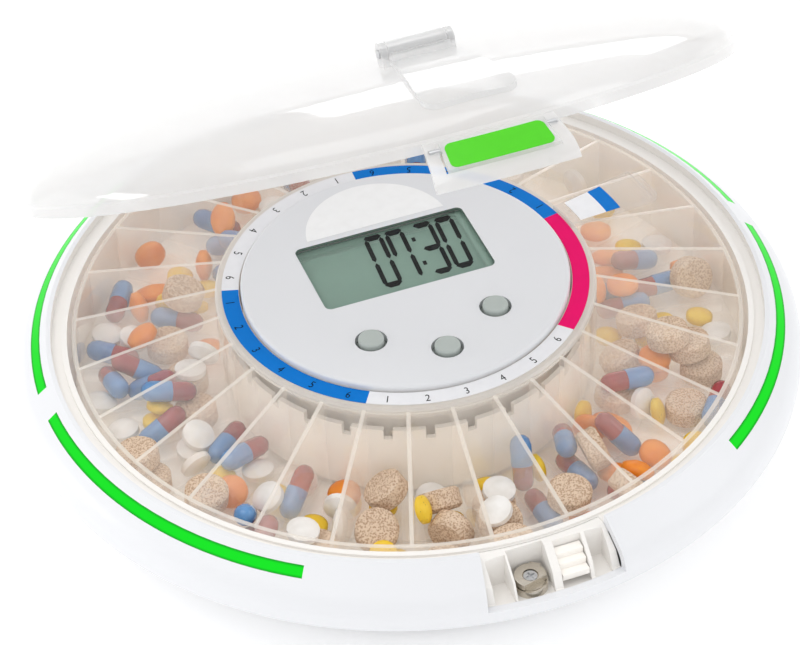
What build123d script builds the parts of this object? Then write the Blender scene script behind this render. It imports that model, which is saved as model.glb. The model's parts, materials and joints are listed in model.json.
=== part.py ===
"""Round automatic pill dispenser: a 28-compartment turning tray under a hinged clear lid.

Frame: origin at the centre of the surface the feet stand on, +Z up, -Y the front with the
lid's latch, +Y the back with the lid's hinge, +X the display's right. Millimetres.
"""
import os
from math import atan, cos, pi, radians, sin, sqrt, tan

from build123d import *

# ---------------------------------------------------------------- driving dimensions
# Base
BASE_R = 115.0              # widest radius of the base
FOOT_H = 1.2                # rubber feet, floor to bottom cover
FOOT_R = 6.0
FOOT_PCR = BASE_R - 33.0    # radius of the circle the feet stand on
COVER_T = 2.2               # bottom cover thickness
COVER_R = BASE_R - 20.5     # flat underside of the bottom cover
SEAM_Z = 23.0               # the upright side ends here and the cover's belly turns in under it
SEAM_STEP = 0.3             # the cover's rim stands this far inside the side
SHELL_WALL = 2.2
SHOULDER_R, SHOULDER_Z = BASE_R - 9.8, 39.1      # top of the sloping shoulder
SHOULDER_DROP = 0.836       # fall per millimetre of radius
SHOULDER_ROUND = 9.0        # radius where the shoulder turns into the side
SEAT_OUTER_R = SHOULDER_R - 1.3  # groove that the lid's rim sits in
SEAT_INNER_R = SEAT_OUTER_R - 3.0
SEAT_Z = 36.5
LIP_TOP_Z = 37.3            # low lip between the seat and the tray well
WELL_R = SEAT_INNER_R - 1.6      # wall of the well that the tray turns in
# Deck and hub tower
DECK_TOP_Z = 13.0
DECK_T = 2.0
TOWER_R = 47.6
TOWER_WALL = 2.0
TOWER_TOP_Z = 47.6
LEDGE_W = 3.0               # ledge inside the tower that carries the main board
POST_R = 4.0                # screw posts under the deck
POST_PCR = BASE_R - 31.0
POST_COUNT = 6
SCREW_R = 1.5
# Tray
COMPARTMENTS = 28
TRAY_PHASE = -0.6           # turn of the tray at rest, degrees from a compartment dead ahead
TRAY_INNER_R = 54.0
TRAY_OUTER_R = WELL_R - 1.3
TRAY_WALL = 1.5
TRAY_FLOOR_T = 1.5
TRAY_HOLE_R = 51.0
TRAY_LIFT = 1.0             # gap between deck and tray floor, taken up by the bearing rail
RAIL_R = 72.0
RAIL_W = 2.0
TRAY_RUN = 0.2              # running clearance under the tray
TRAY_OUTER_TOP_Z = 37.6
TRAY_INNER_TOP_Z = 46.6
DIVIDER_T = 1.2
DIVIDER_HIGH_Z = 47.2       # divider's top at the inner wall
DIVIDER_LOW_Z = 37.4        # divider's top at the outer wall
# Gear train: tray ring gear, drive pinion, motor gear
MODULE = 1.2
RING_TEETH = 84
PINION_TEETH = 12
MOTOR_TEETH = 16
GEAR_BACKLASH = 0.24
PRESSURE_ANGLE = 20.0
ADDENDUM = 0.85             # in modules
RING_ADDENDUM = 0.6         # short, so that the ring's tips clear the pinion's roots
DEDENDUM = 1.25
GEAR_LOW_Z = 20.0
GEAR_W = 7.0
RING_BODY_T = 1.5           # ring wall behind the tooth roots
RING_TOP_Z = 38.4           # top of the position ring
NOTCH_W, NOTCH_H = 2.6, 3.4  # position notches, one per compartment
SHAFT_R = 1.5
# Dosage ring and its tab
RING_INNER_R = 48.2
RING_OUTER_R = RING_INNER_R + 7.1
RING_T = 1.4
LABEL_OUTER_R = RING_INNER_R + 5.1
LABEL_T = 0.2
DOSE_STEP = 12.55           # angle from one printed dose to the next
DOSES = 6
BLUE_START = 162.2          # angle where the first blue band starts
TAB_FROM, TAB_TO = 3.0, 14.0
TAB_OUTER_R = TRAY_OUTER_R - 15.0
TAB_T = 1.2
# Hub cover, display and buttons
HUB_R = 47.8
HUB_T = 2.4
HUB_EDGE = 1.0
DISPLAY_W, DISPLAY_H = 52.4, 29.0
DISPLAY_Y = 8.5
DISPLAY_CORNER = 2.0
LENS_T = 1.0
LENS_MARGIN = 2.0
GLASS_T = 2.1
FRAME_WALL = 1.8
BUTTON_R = 4.3
BUTTON_TRAVEL = 1.0
BUTTON_RISE = 1.2
BUTTON_GAP = 0.35           # radial gap round each button
BUTTON_SIDE_X, BUTTON_SIDE_Y = 18.9, -23.0
BUTTON_MID_Y = -33.9
SWITCH_SIZE, SWITCH_H = 6.0, 2.2
BOARD_T = 1.6
BOARD_R = 44.8
BOARD_Z = 37.2
# Motor
MOTOR_R, MOTOR_H = 14.0, 7.0
PLATE_T = 1.6
# Light arcs, flush in the shoulder
LIGHT_W = 2.75
LIGHT_OUTER_R = BASE_R - 5.05
LIGHT_INNER_R = LIGHT_OUTER_R - LIGHT_W
LIGHT_FRONT = (1.7, 54.5)   # angles below the X axis
LIGHT_BACK = (4.3, 57.3)    # angles above the X axis
# Lid
LID_OPEN = 33.5             # how far the lid stands open at rest
LID_R = SEAT_OUTER_R - 0.6  # rim
HINGE_Y, HINGE_Z = LID_R - 1.3, 39.0
LID_RIM_Z = 36.7
LID_RIM_TOP_Z = 39.3
DOME_R = LID_R - 0.9        # half-axes of the dome's ellipse
DOME_RISE = 20.0
DOME_Z = 40.0
LID_WALL = 2.0
KNUCKLE_R = 2.2
HINGE_PIN_R = 1.0
KNUCKLE_IN, KNUCKLE_OUT = 5.9, 14.1
HINGE_GAP = 0.3
EAR_END = 18.4
RUN_FIT = 0.05              # radial running clearance of pins
# Dispensing opening and its door
OUTLET_LEN = 31.0
OUTLET_FAR_Y = 7.4 - DOME_R
OUTLET_NEAR_Y = OUTLET_FAR_Y + OUTLET_LEN
OUTLET_NEAR_W, OUTLET_FAR_W = 13.0, 23.0
DOOR_T = 1.6
DOOR_GAP = 0.4
DOOR_AXIS_Y = OUTLET_NEAR_Y + 9.0
BARREL_R = 3.0
BARREL_LEN = 16.4
DOOR_EAR_T = 1.8
# Latch notch, tongue and press tab
NOTCH_HALF = 10.0           # half-angle of the notch in the base
TONGUE_HALF = 9.7
PRESS_HALF = 7.9            # half-angle of the window that the press tab sits in
PRESS_GAP = 0.3             # gap round the press tab, degrees
NOTCH_FLOOR_Z = 27.0
NOTCH_BITE = 0.2            # the notch is cut this far into the back of the well wall
TONGUE_T = 2.0
HOUSING_FLOOR_Z = 26.0
HOUSING_T = 1.6
LOCK_X, LOCK_Y = -5.4, 7.7 - BASE_R
LOCK_R = 4.8
LOCK_TOP_Z = 28.2
LOCK_BOTTOM_Z = 23.4
CAM_T = 1.8
LATCH_TRAVEL = 2.0
# Batteries
CELL_R, CELL_LEN = 7.15, 50.5
CELL_PITCH = 14.6
CELL_COUNT = 4
CELL_CONTACT = 1.6          # room for a contact at each end
BOX_WALL = 1.6
DOOR_SLIDE = 6.0

# ---------------------------------------------------------------- values worked out
COVER_TOP_Z = FOOT_H + COVER_T
TRAY_Z = DECK_TOP_Z + TRAY_LIFT
TRAY_FLOOR_TOP_Z = TRAY_Z + TRAY_FLOOR_T
TRAY_IN_FACE_R = TRAY_INNER_R + TRAY_WALL
TRAY_OUT_FACE_R = TRAY_OUTER_R - TRAY_WALL
STEP = 360 / COMPARTMENTS
DIVIDER_ANGLE = -90 + TRAY_PHASE + STEP / 2
RING_Z = TRAY_INNER_TOP_Z
RING_TOP = RING_Z + RING_T
TOWER_IN_R = TOWER_R - TOWER_WALL
HUB_Z = TOWER_TOP_Z
HUB_TOP_Z = HUB_Z + HUB_T
LENS_TOP_Z = HUB_TOP_Z - 1.0
LENS_Z = LENS_TOP_Z - LENS_T
GLASS_Z = LENS_Z - GLASS_T
BOARD_TOP_Z = BOARD_Z + BOARD_T
RING_PITCH_R = MODULE * RING_TEETH / 2
PINION_PITCH_R = MODULE * PINION_TEETH / 2
MOTOR_PITCH_R = MODULE * MOTOR_TEETH / 2
PINION_Y = RING_PITCH_R - PINION_PITCH_R
MOTOR_Y = PINION_Y - PINION_PITCH_R - MOTOR_PITCH_R
RING_ROOT_R = RING_PITCH_R + DEDENDUM * MODULE
RING_BACK_R = RING_ROOT_R + RING_BODY_T
GEAR_TOP_Z = GEAR_LOW_Z + GEAR_W
SHELF_TOP_Z = GEAR_LOW_Z - 0.8
PLATE_Z = GEAR_TOP_Z + 1.0
MOTOR_Z = PLATE_Z + PLATE_T
CELL_Z = COVER_TOP_Z + CELL_R - 0.3
BOX_IN_W = CELL_PITCH * CELL_COUNT + 1.0
BOX_IN_L = CELL_LEN + 2 * CELL_CONTACT
BOX_TOP_Z = CELL_Z + CELL_R + 0.3 + BOX_WALL
HINGE_AXIS = Axis((0, HINGE_Y, HINGE_Z), (1, 0, 0))


def shoulder_z(radius):
    """Height of the sloping shoulder at a radius."""
    return SHOULDER_Z - (radius - SHOULDER_R) * SHOULDER_DROP


def dome_z(radius, grow=0.0):
    """Height of the dome's outer face, or of an ellipse grown by some millimetres."""
    return DOME_Z + (DOME_RISE + grow) * sqrt(1 - (radius / (DOME_R + grow)) ** 2)


DOOR_AXIS_Z = dome_z(-DOOR_AXIS_Y) + BARREL_R + DOOR_GAP
SLOPE_LEN = sqrt(1 + SHOULDER_DROP ** 2)
INWARD = Vector(-SHOULDER_DROP / SLOPE_LEN, -1 / SLOPE_LEN)     # into the shoulder


def sunk(radius, depth):
    """Point of the shoulder's section at a radius, sunk square into it by a depth."""
    return (radius + INWARD.X * depth, shoulder_z(radius) + INWARD.Y * depth)


def save(builder, name):
    """Label a finished sub-part and write its STEP file."""
    builder.part.label = name
    export_step(builder.part, f"parts/{name}.step")


def save_on_lid(builder, name):
    """Swing a sub-part drawn with the lid shut to where the open lid holds it, and write it."""
    opened = builder.part.rotate(HINGE_AXIS, -LID_OPEN)
    opened.label = name
    export_step(opened, f"parts/{name}.step")


def corner(sketch, radius, height):
    """The corner of a section nearest to a point."""
    return sketch.vertices().sort_by_distance((radius, height))[0]


def sector_plane(angle):
    """Upright plane through the Z axis, its local X pointing out at an angle."""
    outward = Vector(cos(radians(angle)), sin(radians(angle)), 0)
    return Plane(origin=(0, 0, 0), x_dir=outward, z_dir=outward.cross(Vector(0, 0, 1)))


def gear_outline(teeth, addendum, dedendum, phase, backlash):
    """Corner points of an involute gear, a few per flank, with a tooth centred on phase."""
    pitch_r = MODULE * teeth / 2
    base_r = pitch_r * cos(radians(PRESSURE_ANGLE))
    tip_r, root_r = pitch_r + addendum * MODULE, pitch_r - dedendum * MODULE
    involute_at_pitch = tan(radians(PRESSURE_ANGLE)) - radians(PRESSURE_ANGLE)
    half_at_pitch = (pi * MODULE / 2 - backlash / 2) / (2 * pitch_r)
    flank = []
    low_r = max(root_r, base_r)
    for step in range(5):
        radius = low_r + (tip_r - low_r) * step / 4
        roll = sqrt(max((radius / base_r) ** 2 - 1, 0))
        involute = roll - atan(roll)
        flank.append((radius, half_at_pitch + involute_at_pitch - involute))
    if root_r < base_r:
        flank.insert(0, (root_r, flank[0][1]))
    points = []
    for tooth in range(teeth):
        centre = radians(phase) + 2 * pi * tooth / teeth
        for radius, half in flank:
            points.append((radius * cos(centre - half), radius * sin(centre - half)))
        for radius, half in reversed(flank):
            points.append((radius * cos(centre + half), radius * sin(centre + half)))
    return points


os.makedirs("parts", exist_ok=True)

# ---------------------------------------------------------------- base
DECK_LOW_Z = DECK_TOP_Z - DECK_T
WELL_BACK_R = WELL_R + SHELL_WALL
BATTERY_REBATE = 3.0        # ledge round the battery opening
REBATE_DEPTH = 1.6
DOOR_FIT = 0.2
HEAD_R, HEAD_H = 2.8, 1.2

RIM_R = BASE_R - SEAM_STEP
BELLY_RUN = (RIM_R - COVER_R) / (SEAM_Z - FOOT_H)      # belly's widening per millimetre of height
BELLY_IN = COVER_T * sqrt(1 + BELLY_RUN ** 2)          # its wall, measured along the radius


def belly_r(z):
    """Radius of the belly's inner face at a height."""
    return COVER_R + BELLY_RUN * (z - FOOT_H) - BELLY_IN


with BuildPart() as bottom_cover:
    with BuildSketch(Plane.XZ) as dish:
        with BuildLine():
            Polyline((0, FOOT_H), (COVER_R, FOOT_H), (RIM_R, SEAM_Z), (RIM_R - BELLY_IN, SEAM_Z),
                     (belly_r(COVER_TOP_Z), COVER_TOP_Z), (0, COVER_TOP_Z), close=True)
        make_face()
        fillet(corner(dish, COVER_R, FOOT_H), 3.0)
    revolve(axis=Axis.Z)
    with BuildSketch(Plane.XY.offset(FOOT_H)):
        Rectangle(BOX_IN_W, BOX_IN_L)
        with PolarLocations(POST_PCR, POST_COUNT, start_angle=30):
            Circle(SCREW_R + DOOR_FIT)
    extrude(amount=COVER_T, mode=Mode.SUBTRACT)
    with BuildSketch(Plane.XY.offset(FOOT_H)):
        with PolarLocations(POST_PCR, POST_COUNT, start_angle=30):
            Circle(HEAD_R + DOOR_FIT)
    extrude(amount=HEAD_H, mode=Mode.SUBTRACT)
    with BuildSketch(Plane.XY.offset(FOOT_H)):
        with Locations((0, DOOR_SLIDE / 2)):
            Rectangle(BOX_IN_W + 2 * BATTERY_REBATE, BOX_IN_L + 2 * BATTERY_REBATE + DOOR_SLIDE)
    extrude(amount=REBATE_DEPTH, mode=Mode.SUBTRACT)
save(bottom_cover, "bottom_cover")

with BuildPart() as rubber_feet:
    with BuildSketch():
        with PolarLocations(FOOT_PCR, 4, start_angle=45):
            Circle(FOOT_R)
    extrude(amount=FOOT_H)
save(rubber_feet, "rubber_feet")

with BuildPart() as base_screws:
    with BuildSketch(Plane.XY.offset(FOOT_H)):
        with PolarLocations(POST_PCR, POST_COUNT, start_angle=30):
            Circle(HEAD_R)
            RegularPolygon(1.3, 6, mode=Mode.SUBTRACT)
    extrude(amount=HEAD_H)
    with BuildSketch(Plane.XY.offset(FOOT_H + HEAD_H / 2)):
        with PolarLocations(POST_PCR, POST_COUNT, start_angle=30):
            Circle(SCREW_R)
    extrude(amount=DECK_LOW_Z - FOOT_H - HEAD_H)
save(base_screws, "base_screws")

with BuildPart() as battery_door:
    with BuildSketch(Plane.XY.offset(FOOT_H + 0.1)):
        Rectangle(BOX_IN_W + 2 * BATTERY_REBATE - 2 * DOOR_FIT,
                  BOX_IN_L + 2 * BATTERY_REBATE - 2 * DOOR_FIT)
        with GridLocations(0, 2.4, 1, 5):
            Rectangle(16, 1, mode=Mode.SUBTRACT)
    extrude(amount=0.6)
    with BuildSketch(Plane.XY.offset(FOOT_H + 0.7)):
        Rectangle(BOX_IN_W + 2 * BATTERY_REBATE - 2 * DOOR_FIT,
                  BOX_IN_L + 2 * BATTERY_REBATE - 2 * DOOR_FIT)
    extrude(amount=REBATE_DEPTH - 0.8)
save(battery_door, "battery_door")

LIGHT_SPANS = {
    "front_left": (180 + LIGHT_FRONT[0], 180 + LIGHT_FRONT[1]),
    "front_right": (-LIGHT_FRONT[1], -LIGHT_FRONT[0]),
    "back_left": (180 - LIGHT_BACK[1], 180 - LIGHT_BACK[0]),
    "back_right": LIGHT_BACK,
}
RECESS_R = KNUCKLE_R + 1.1   # hollow in the seat that the lid's knuckles turn in
RECESS_HALF = EAR_END + 3.6
EAR_FOOT = 3.0

with BuildPart() as outer_shell:
    with BuildSketch(Plane.XZ) as section:
        with BuildLine():
            Polyline((WELL_R, DECK_TOP_Z), (WELL_R, LIP_TOP_Z), (SEAT_INNER_R, LIP_TOP_Z),
                     (SEAT_INNER_R, SEAT_Z), (SEAT_OUTER_R, SEAT_Z), (SEAT_OUTER_R, SHOULDER_Z),
                     (SHOULDER_R, SHOULDER_Z), (BASE_R, shoulder_z(BASE_R)), (BASE_R, DECK_TOP_Z), close=True)
        make_face()
        fillet(corner(section, BASE_R, shoulder_z(BASE_R)), SHOULDER_ROUND)
        offset(amount=-SHELL_WALL, kind=Kind.INTERSECTION, mode=Mode.SUBTRACT)
        with Locations((WELL_BACK_R, DECK_TOP_Z)):
            Rectangle(BASE_R - WELL_BACK_R, SEAM_Z - DECK_TOP_Z, align=(Align.MIN, Align.MIN),
                      mode=Mode.SUBTRACT)
    revolve(axis=Axis.Z)
    for first, last in LIGHT_SPANS.values():
        with BuildSketch(sector_plane(first)):
            with BuildLine():
                Polyline(sunk(LIGHT_INNER_R, -1), sunk(LIGHT_OUTER_R, -1),
                         sunk(LIGHT_OUTER_R, SHELL_WALL + 1), sunk(LIGHT_INNER_R, SHELL_WALL + 1),
                         close=True)
            make_face()
        revolve(axis=Axis.Z, revolution_arc=last - first, mode=Mode.SUBTRACT)
    with BuildSketch(sector_plane(-90 - NOTCH_HALF)):
        with Locations((WELL_BACK_R - NOTCH_BITE, NOTCH_FLOOR_Z)):
            Rectangle(BASE_R, BASE_R, align=(Align.MIN, Align.MIN))
    revolve(axis=Axis.Z, revolution_arc=2 * NOTCH_HALF, mode=Mode.SUBTRACT)
    with BuildSketch(Plane.YZ.offset(-RECESS_HALF)):
        with Locations((HINGE_Y, HINGE_Z)):
            Circle(RECESS_R)
        with Locations((HINGE_Y - RECESS_R, SHOULDER_Z - 0.7)):
            Rectangle(2 * RECESS_R + 2, 2 * RECESS_R, align=(Align.MIN, Align.MIN))
    extrude(amount=2 * RECESS_HALF, mode=Mode.SUBTRACT)
    for low, high in ((-EAR_END, -KNUCKLE_OUT - HINGE_GAP), (HINGE_GAP - KNUCKLE_IN, KNUCKLE_IN - HINGE_GAP),
                      (KNUCKLE_OUT + HINGE_GAP, EAR_END)):
        with BuildSketch(Plane.YZ.offset(low)):
            with Locations((HINGE_Y, HINGE_Z)):
                Circle(KNUCKLE_R)
            with Locations((HINGE_Y, (HINGE_Z + SEAT_Z) / 2 - 1)):
                Rectangle(EAR_FOOT, HINGE_Z - SEAT_Z + 2)
        extrude(amount=high - low)
    with BuildSketch(Plane.YZ.offset(-RECESS_HALF)):
        with Locations((HINGE_Y, HINGE_Z)):
            Circle(HINGE_PIN_R)
    extrude(amount=2 * RECESS_HALF, mode=Mode.SUBTRACT)
save(outer_shell, "outer_shell")

with BuildPart() as hinge_pin:
    with BuildSketch(Plane.YZ.offset(-EAR_END)):
        with Locations((HINGE_Y, HINGE_Z)):
            Circle(HINGE_PIN_R)
    extrude(amount=2 * EAR_END)
save(hinge_pin, "hinge_pin")

for place, (first, last) in LIGHT_SPANS.items():
    with BuildPart() as light_arc:
        with BuildSketch(sector_plane(first)):
            with BuildLine():
                Polyline(sunk(LIGHT_INNER_R, 0), sunk(LIGHT_OUTER_R, 0),
                         sunk(LIGHT_OUTER_R, SHELL_WALL), sunk(LIGHT_INNER_R, SHELL_WALL), close=True)
            make_face()
        revolve(axis=Axis.Z, revolution_arc=last - first)
    save(light_arc, f"light_arc_{place}")

LIGHT_BOARD_T = 1.2
with BuildPart() as light_boards:
    for first, last in LIGHT_SPANS.values():
        with BuildSketch(sector_plane(first)):
            with Locations((WELL_BACK_R + 1, SEAT_Z - SHELL_WALL - LIGHT_BOARD_T)):
                Rectangle(4, LIGHT_BOARD_T, align=(Align.MIN, Align.MIN))
        revolve(axis=Axis.Z, revolution_arc=last - first)
save(light_boards, "light_boards")

SHELF_T = 2.0
SHELF_Y = 33.0
GEAR_POST_X, GEAR_POST_Y, GEAR_POST_R = 13.0, 36.0, 2.0
SHELF_HALF = 16.0
with BuildPart() as tray_deck:
    with BuildSketch(Plane.XZ):
        with BuildLine():
            Polyline((TOWER_IN_R, DECK_LOW_Z), (TOWER_IN_R, BOARD_Z - LEDGE_W),
                     (TOWER_IN_R - LEDGE_W, BOARD_Z - SHELF_T), (TOWER_IN_R - LEDGE_W, BOARD_Z),
                     (TOWER_IN_R, BOARD_Z), (TOWER_IN_R, TOWER_TOP_Z), (TOWER_R, TOWER_TOP_Z),
                     (TOWER_R, DECK_TOP_Z), (RAIL_R - RAIL_W, DECK_TOP_Z),
                     (RAIL_R - RAIL_W, TRAY_Z - TRAY_RUN), (RAIL_R, TRAY_Z - TRAY_RUN),
                     (RAIL_R, DECK_TOP_Z), (WELL_BACK_R, DECK_TOP_Z),
                     (WELL_BACK_R - BELLY_RUN * DECK_T, DECK_LOW_Z), close=True)
        make_face()
    revolve(axis=Axis.Z)
    with BuildSketch(Plane.XY.offset(COVER_TOP_Z)):
        with PolarLocations(POST_PCR, POST_COUNT, start_angle=30):
            Circle(POST_R)
            Circle(SCREW_R, mode=Mode.SUBTRACT)
    extrude(amount=DECK_LOW_Z - COVER_TOP_Z)
    with BuildSketch(Plane.XY.offset(GEAR_LOW_Z - 1)):
        with Locations((0, PINION_Y + PINION_PITCH_R)):
            Rectangle(2 * (PINION_PITCH_R + MODULE + 1), 2 * PINION_PITCH_R)
    extrude(amount=GEAR_W + 2, mode=Mode.SUBTRACT)
    with BuildSketch(Plane.XY.offset(SHELF_TOP_Z - SHELF_T)):
        with Locations((0, SHELF_Y)):
            Rectangle(2 * SHELF_HALF, TOWER_R, align=(Align.CENTER, Align.MIN))
        Circle(TOWER_R - TOWER_WALL / 2, mode=Mode.INTERSECT)
        with Locations((0, PINION_Y)):
            Circle(SHAFT_R, mode=Mode.SUBTRACT)
    extrude(amount=SHELF_T)
    with BuildSketch(Plane.XY.offset(SHELF_TOP_Z)):
        with Locations((-GEAR_POST_X, GEAR_POST_Y), (GEAR_POST_X, GEAR_POST_Y)):
            Circle(GEAR_POST_R)
    extrude(amount=PLATE_Z - SHELF_TOP_Z)
save(tray_deck, "tray_deck")

# ---------------------------------------------------------------- batteries
BOX_OUT_W, BOX_OUT_L = BOX_IN_W + 2 * BOX_WALL, BOX_IN_L + 2 * BOX_WALL
BOX_POST_Y = 12.0
CELL_XS = [(n - (CELL_COUNT - 1) / 2) * CELL_PITCH for n in range(CELL_COUNT)]

with BuildPart() as battery_box:
    with BuildSketch(Plane.XY.offset(COVER_TOP_Z)):
        Rectangle(BOX_OUT_W, BOX_OUT_L)
    extrude(amount=BOX_TOP_Z - COVER_TOP_Z)
    with BuildSketch(Plane.XY.offset(COVER_TOP_Z)):
        Rectangle(BOX_IN_W, BOX_IN_L)
    extrude(amount=BOX_TOP_Z - BOX_WALL - COVER_TOP_Z, mode=Mode.SUBTRACT)
    with BuildSketch(Plane.XY.offset(BOX_TOP_Z)):
        with Locations((0, BOX_POST_Y)):
            Circle(GEAR_POST_R)
    extrude(amount=PLATE_Z - BOX_TOP_Z)
save(battery_box, "battery_box")

NUB_R, NUB_H = 2.7, 1.0
with BuildPart() as batteries:
    for number, x in enumerate(CELL_XS):
        side = 1 if number % 2 else -1
        with BuildSketch(Plane.XZ.offset(-CELL_LEN / 2)):
            with Locations((x, CELL_Z)):
                Circle(CELL_R)
        extrude(amount=CELL_LEN)
        with BuildSketch(Plane.XZ.offset(-side * (CELL_LEN / 2 + NUB_H))):
            with Locations((x, CELL_Z)):
                Circle(NUB_R)
        extrude(amount=side * (NUB_H + 1))
save(batteries, "batteries")

CONTACT_T = 0.4
with BuildPart() as battery_contacts:
    for x in CELL_XS:
        for side in (-1, 1):
            with BuildSketch(Plane.XZ.offset(side * BOX_IN_L / 2)):
                with Locations((x, CELL_Z)):
                    Rectangle(CELL_R * 1.3, CELL_R * 1.3)
            extrude(amount=-side * CONTACT_T)
save(battery_contacts, "battery_contacts")

# ---------------------------------------------------------------- tray
with BuildPart() as tray_floor:
    with BuildSketch(Plane.XY.offset(TRAY_Z)):
        Circle(TRAY_OUTER_R)
        Circle(TRAY_HOLE_R, mode=Mode.SUBTRACT)
    extrude(amount=TRAY_FLOOR_T)
save(tray_floor, "tray_floor")

with BuildPart() as tray_inner_wall:
    with BuildSketch(Plane.XY.offset(TRAY_FLOOR_TOP_Z)):
        Circle(TRAY_IN_FACE_R)
        Circle(TRAY_INNER_R, mode=Mode.SUBTRACT)
    extrude(amount=TRAY_INNER_TOP_Z - TRAY_FLOOR_TOP_Z)
save(tray_inner_wall, "tray_inner_wall")

with BuildPart() as tray_outer_wall:
    with BuildSketch(Plane.XY.offset(TRAY_FLOOR_TOP_Z)):
        Circle(TRAY_OUTER_R)
        Circle(TRAY_OUT_FACE_R, mode=Mode.SUBTRACT)
    extrude(amount=TRAY_OUTER_TOP_Z - TRAY_FLOOR_TOP_Z)
save(tray_outer_wall, "tray_outer_wall")

DIVIDER_FAR_R = sqrt(TRAY_OUT_FACE_R ** 2 - (DIVIDER_T / 2) ** 2)
with BuildPart() as tray_dividers:
    for number in range(COMPARTMENTS):
        with BuildSketch(sector_plane(DIVIDER_ANGLE + number * STEP)):
            with BuildLine():
                Polyline((TRAY_IN_FACE_R, TRAY_FLOOR_TOP_Z), (DIVIDER_FAR_R, TRAY_FLOOR_TOP_Z),
                         (DIVIDER_FAR_R, DIVIDER_LOW_Z), (TRAY_IN_FACE_R, DIVIDER_HIGH_Z), close=True)
            make_face()
        extrude(amount=DIVIDER_T / 2, both=True)
save(tray_dividers, "tray_dividers")

with BuildPart() as tray_gear_ring:
    with BuildSketch(Plane.XY.offset(TRAY_FLOOR_TOP_Z)):
        Circle(RING_BACK_R)
        Circle(RING_ROOT_R, mode=Mode.SUBTRACT)
    extrude(amount=RING_TOP_Z - TRAY_FLOOR_TOP_Z)
    with BuildSketch(Plane.XY.offset(GEAR_LOW_Z)):
        Circle(RING_ROOT_R + RING_BODY_T / 2)
        with BuildLine():
            Polyline(*gear_outline(RING_TEETH, DEDENDUM, RING_ADDENDUM, 90, -GEAR_BACKLASH), close=True)
        make_face(mode=Mode.SUBTRACT)
    extrude(amount=GEAR_W)
    with BuildSketch(Plane.XY.offset(RING_TOP_Z - NOTCH_H)):
        with PolarLocations(RING_BACK_R, COMPARTMENTS, start_angle=DIVIDER_ANGLE + STEP / 2):
            Rectangle(4 * RING_BODY_T, NOTCH_W)
    extrude(amount=NOTCH_H, mode=Mode.SUBTRACT)
save(tray_gear_ring, "tray_gear_ring")

SKIRT_T, SKIRT_DROP, SKIRT_FIT = 1.6, 3.0, 0.2
with BuildPart() as dosage_ring:
    with BuildSketch(Plane.XY.offset(RING_Z)):
        Circle(RING_OUTER_R)
        Circle(RING_INNER_R, mode=Mode.SUBTRACT)
    extrude(amount=RING_T)
    chamfer(dosage_ring.edges().filter_by(GeomType.CIRCLE).group_by(Axis.Z)[-1]
            .sort_by(SortBy.RADIUS)[-1], 0.6)
    with BuildSketch(Plane.XY.offset(RING_Z - SKIRT_DROP)):
        Circle(TRAY_INNER_R - SKIRT_FIT)
        Circle(TRAY_INNER_R - SKIRT_FIT - SKIRT_T, mode=Mode.SUBTRACT)
    extrude(amount=SKIRT_DROP)
save(dosage_ring, "dosage_ring")

BAND = DOSES * DOSE_STEP
MAGENTA_START = BLUE_START + 2 * BAND
MAGENTA_SPAN = 360 - 4 * BAND
BANDS = {
    "ring_label_blue": [(BLUE_START, BAND), (MAGENTA_START + MAGENTA_SPAN, BAND)],
    "ring_label_white": [(BLUE_START + BAND, BAND), (BLUE_START - BAND, BAND)],
    "ring_label_magenta": [(MAGENTA_START, MAGENTA_SPAN)],
}
for name, bands in BANDS.items():
    with BuildPart() as band_label:
        for start, span in bands:
            with BuildSketch(sector_plane(start)):
                with Locations((RING_INNER_R + LABEL_T, RING_TOP)):
                    Rectangle(LABEL_OUTER_R - RING_INNER_R - LABEL_T, LABEL_T,
                              align=(Align.MIN, Align.MIN))
            revolve(axis=Axis.Z, revolution_arc=span)
    save(band_label, name)

TAB_LABEL_R = (57.0, 70.0)
TAB_LABEL_MARGIN = 0.8
RIB_T, RIB_H = 1.2, 0.8     # finger rib across the tab's end
with BuildPart() as ring_tab:
    with BuildSketch(sector_plane(TAB_FROM)):
        with Locations((LABEL_OUTER_R + 0.1, RING_TOP)):
            Rectangle(TAB_OUTER_R - LABEL_OUTER_R - 0.1, TAB_T, align=(Align.MIN, Align.MIN))
    revolve(axis=Axis.Z, revolution_arc=TAB_TO - TAB_FROM)
    far_corners = ring_tab.edges().filter_by(Axis.Z).sort_by_distance((0, 0, 0))[-2:]
    fillet(far_corners, 3.0)
    with BuildSketch(sector_plane(TAB_FROM + TAB_LABEL_MARGIN)):
        with Locations((TAB_OUTER_R - 2 * RIB_T, RING_TOP + TAB_T)):
            Rectangle(RIB_T, RIB_H, align=(Align.MAX, Align.MIN))
    revolve(axis=Axis.Z, revolution_arc=TAB_TO - TAB_FROM - 2 * TAB_LABEL_MARGIN)
save(ring_tab, "ring_tab")

with BuildPart() as ring_tab_label:
    with BuildSketch(sector_plane(TAB_FROM + TAB_LABEL_MARGIN)):
        with Locations((TAB_LABEL_R[0], RING_TOP + TAB_T)):
            Rectangle(TAB_LABEL_R[1] - TAB_LABEL_R[0], LABEL_T, align=(Align.MIN, Align.MIN))
    revolve(axis=Axis.Z, revolution_arc=TAB_TO - TAB_FROM - 2 * TAB_LABEL_MARGIN)
save(ring_tab_label, "ring_tab_label")

# ---------------------------------------------------------------- gear train
SHAFT_RUN = 0.05            # running clearance of a bore on a fixed axle
COLLAR_R, COLLAR_H = 3.0, 0.7


def shifted(points, dy):
    """Outline points moved along Y."""
    return [(x, y + dy) for x, y in points]


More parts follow.
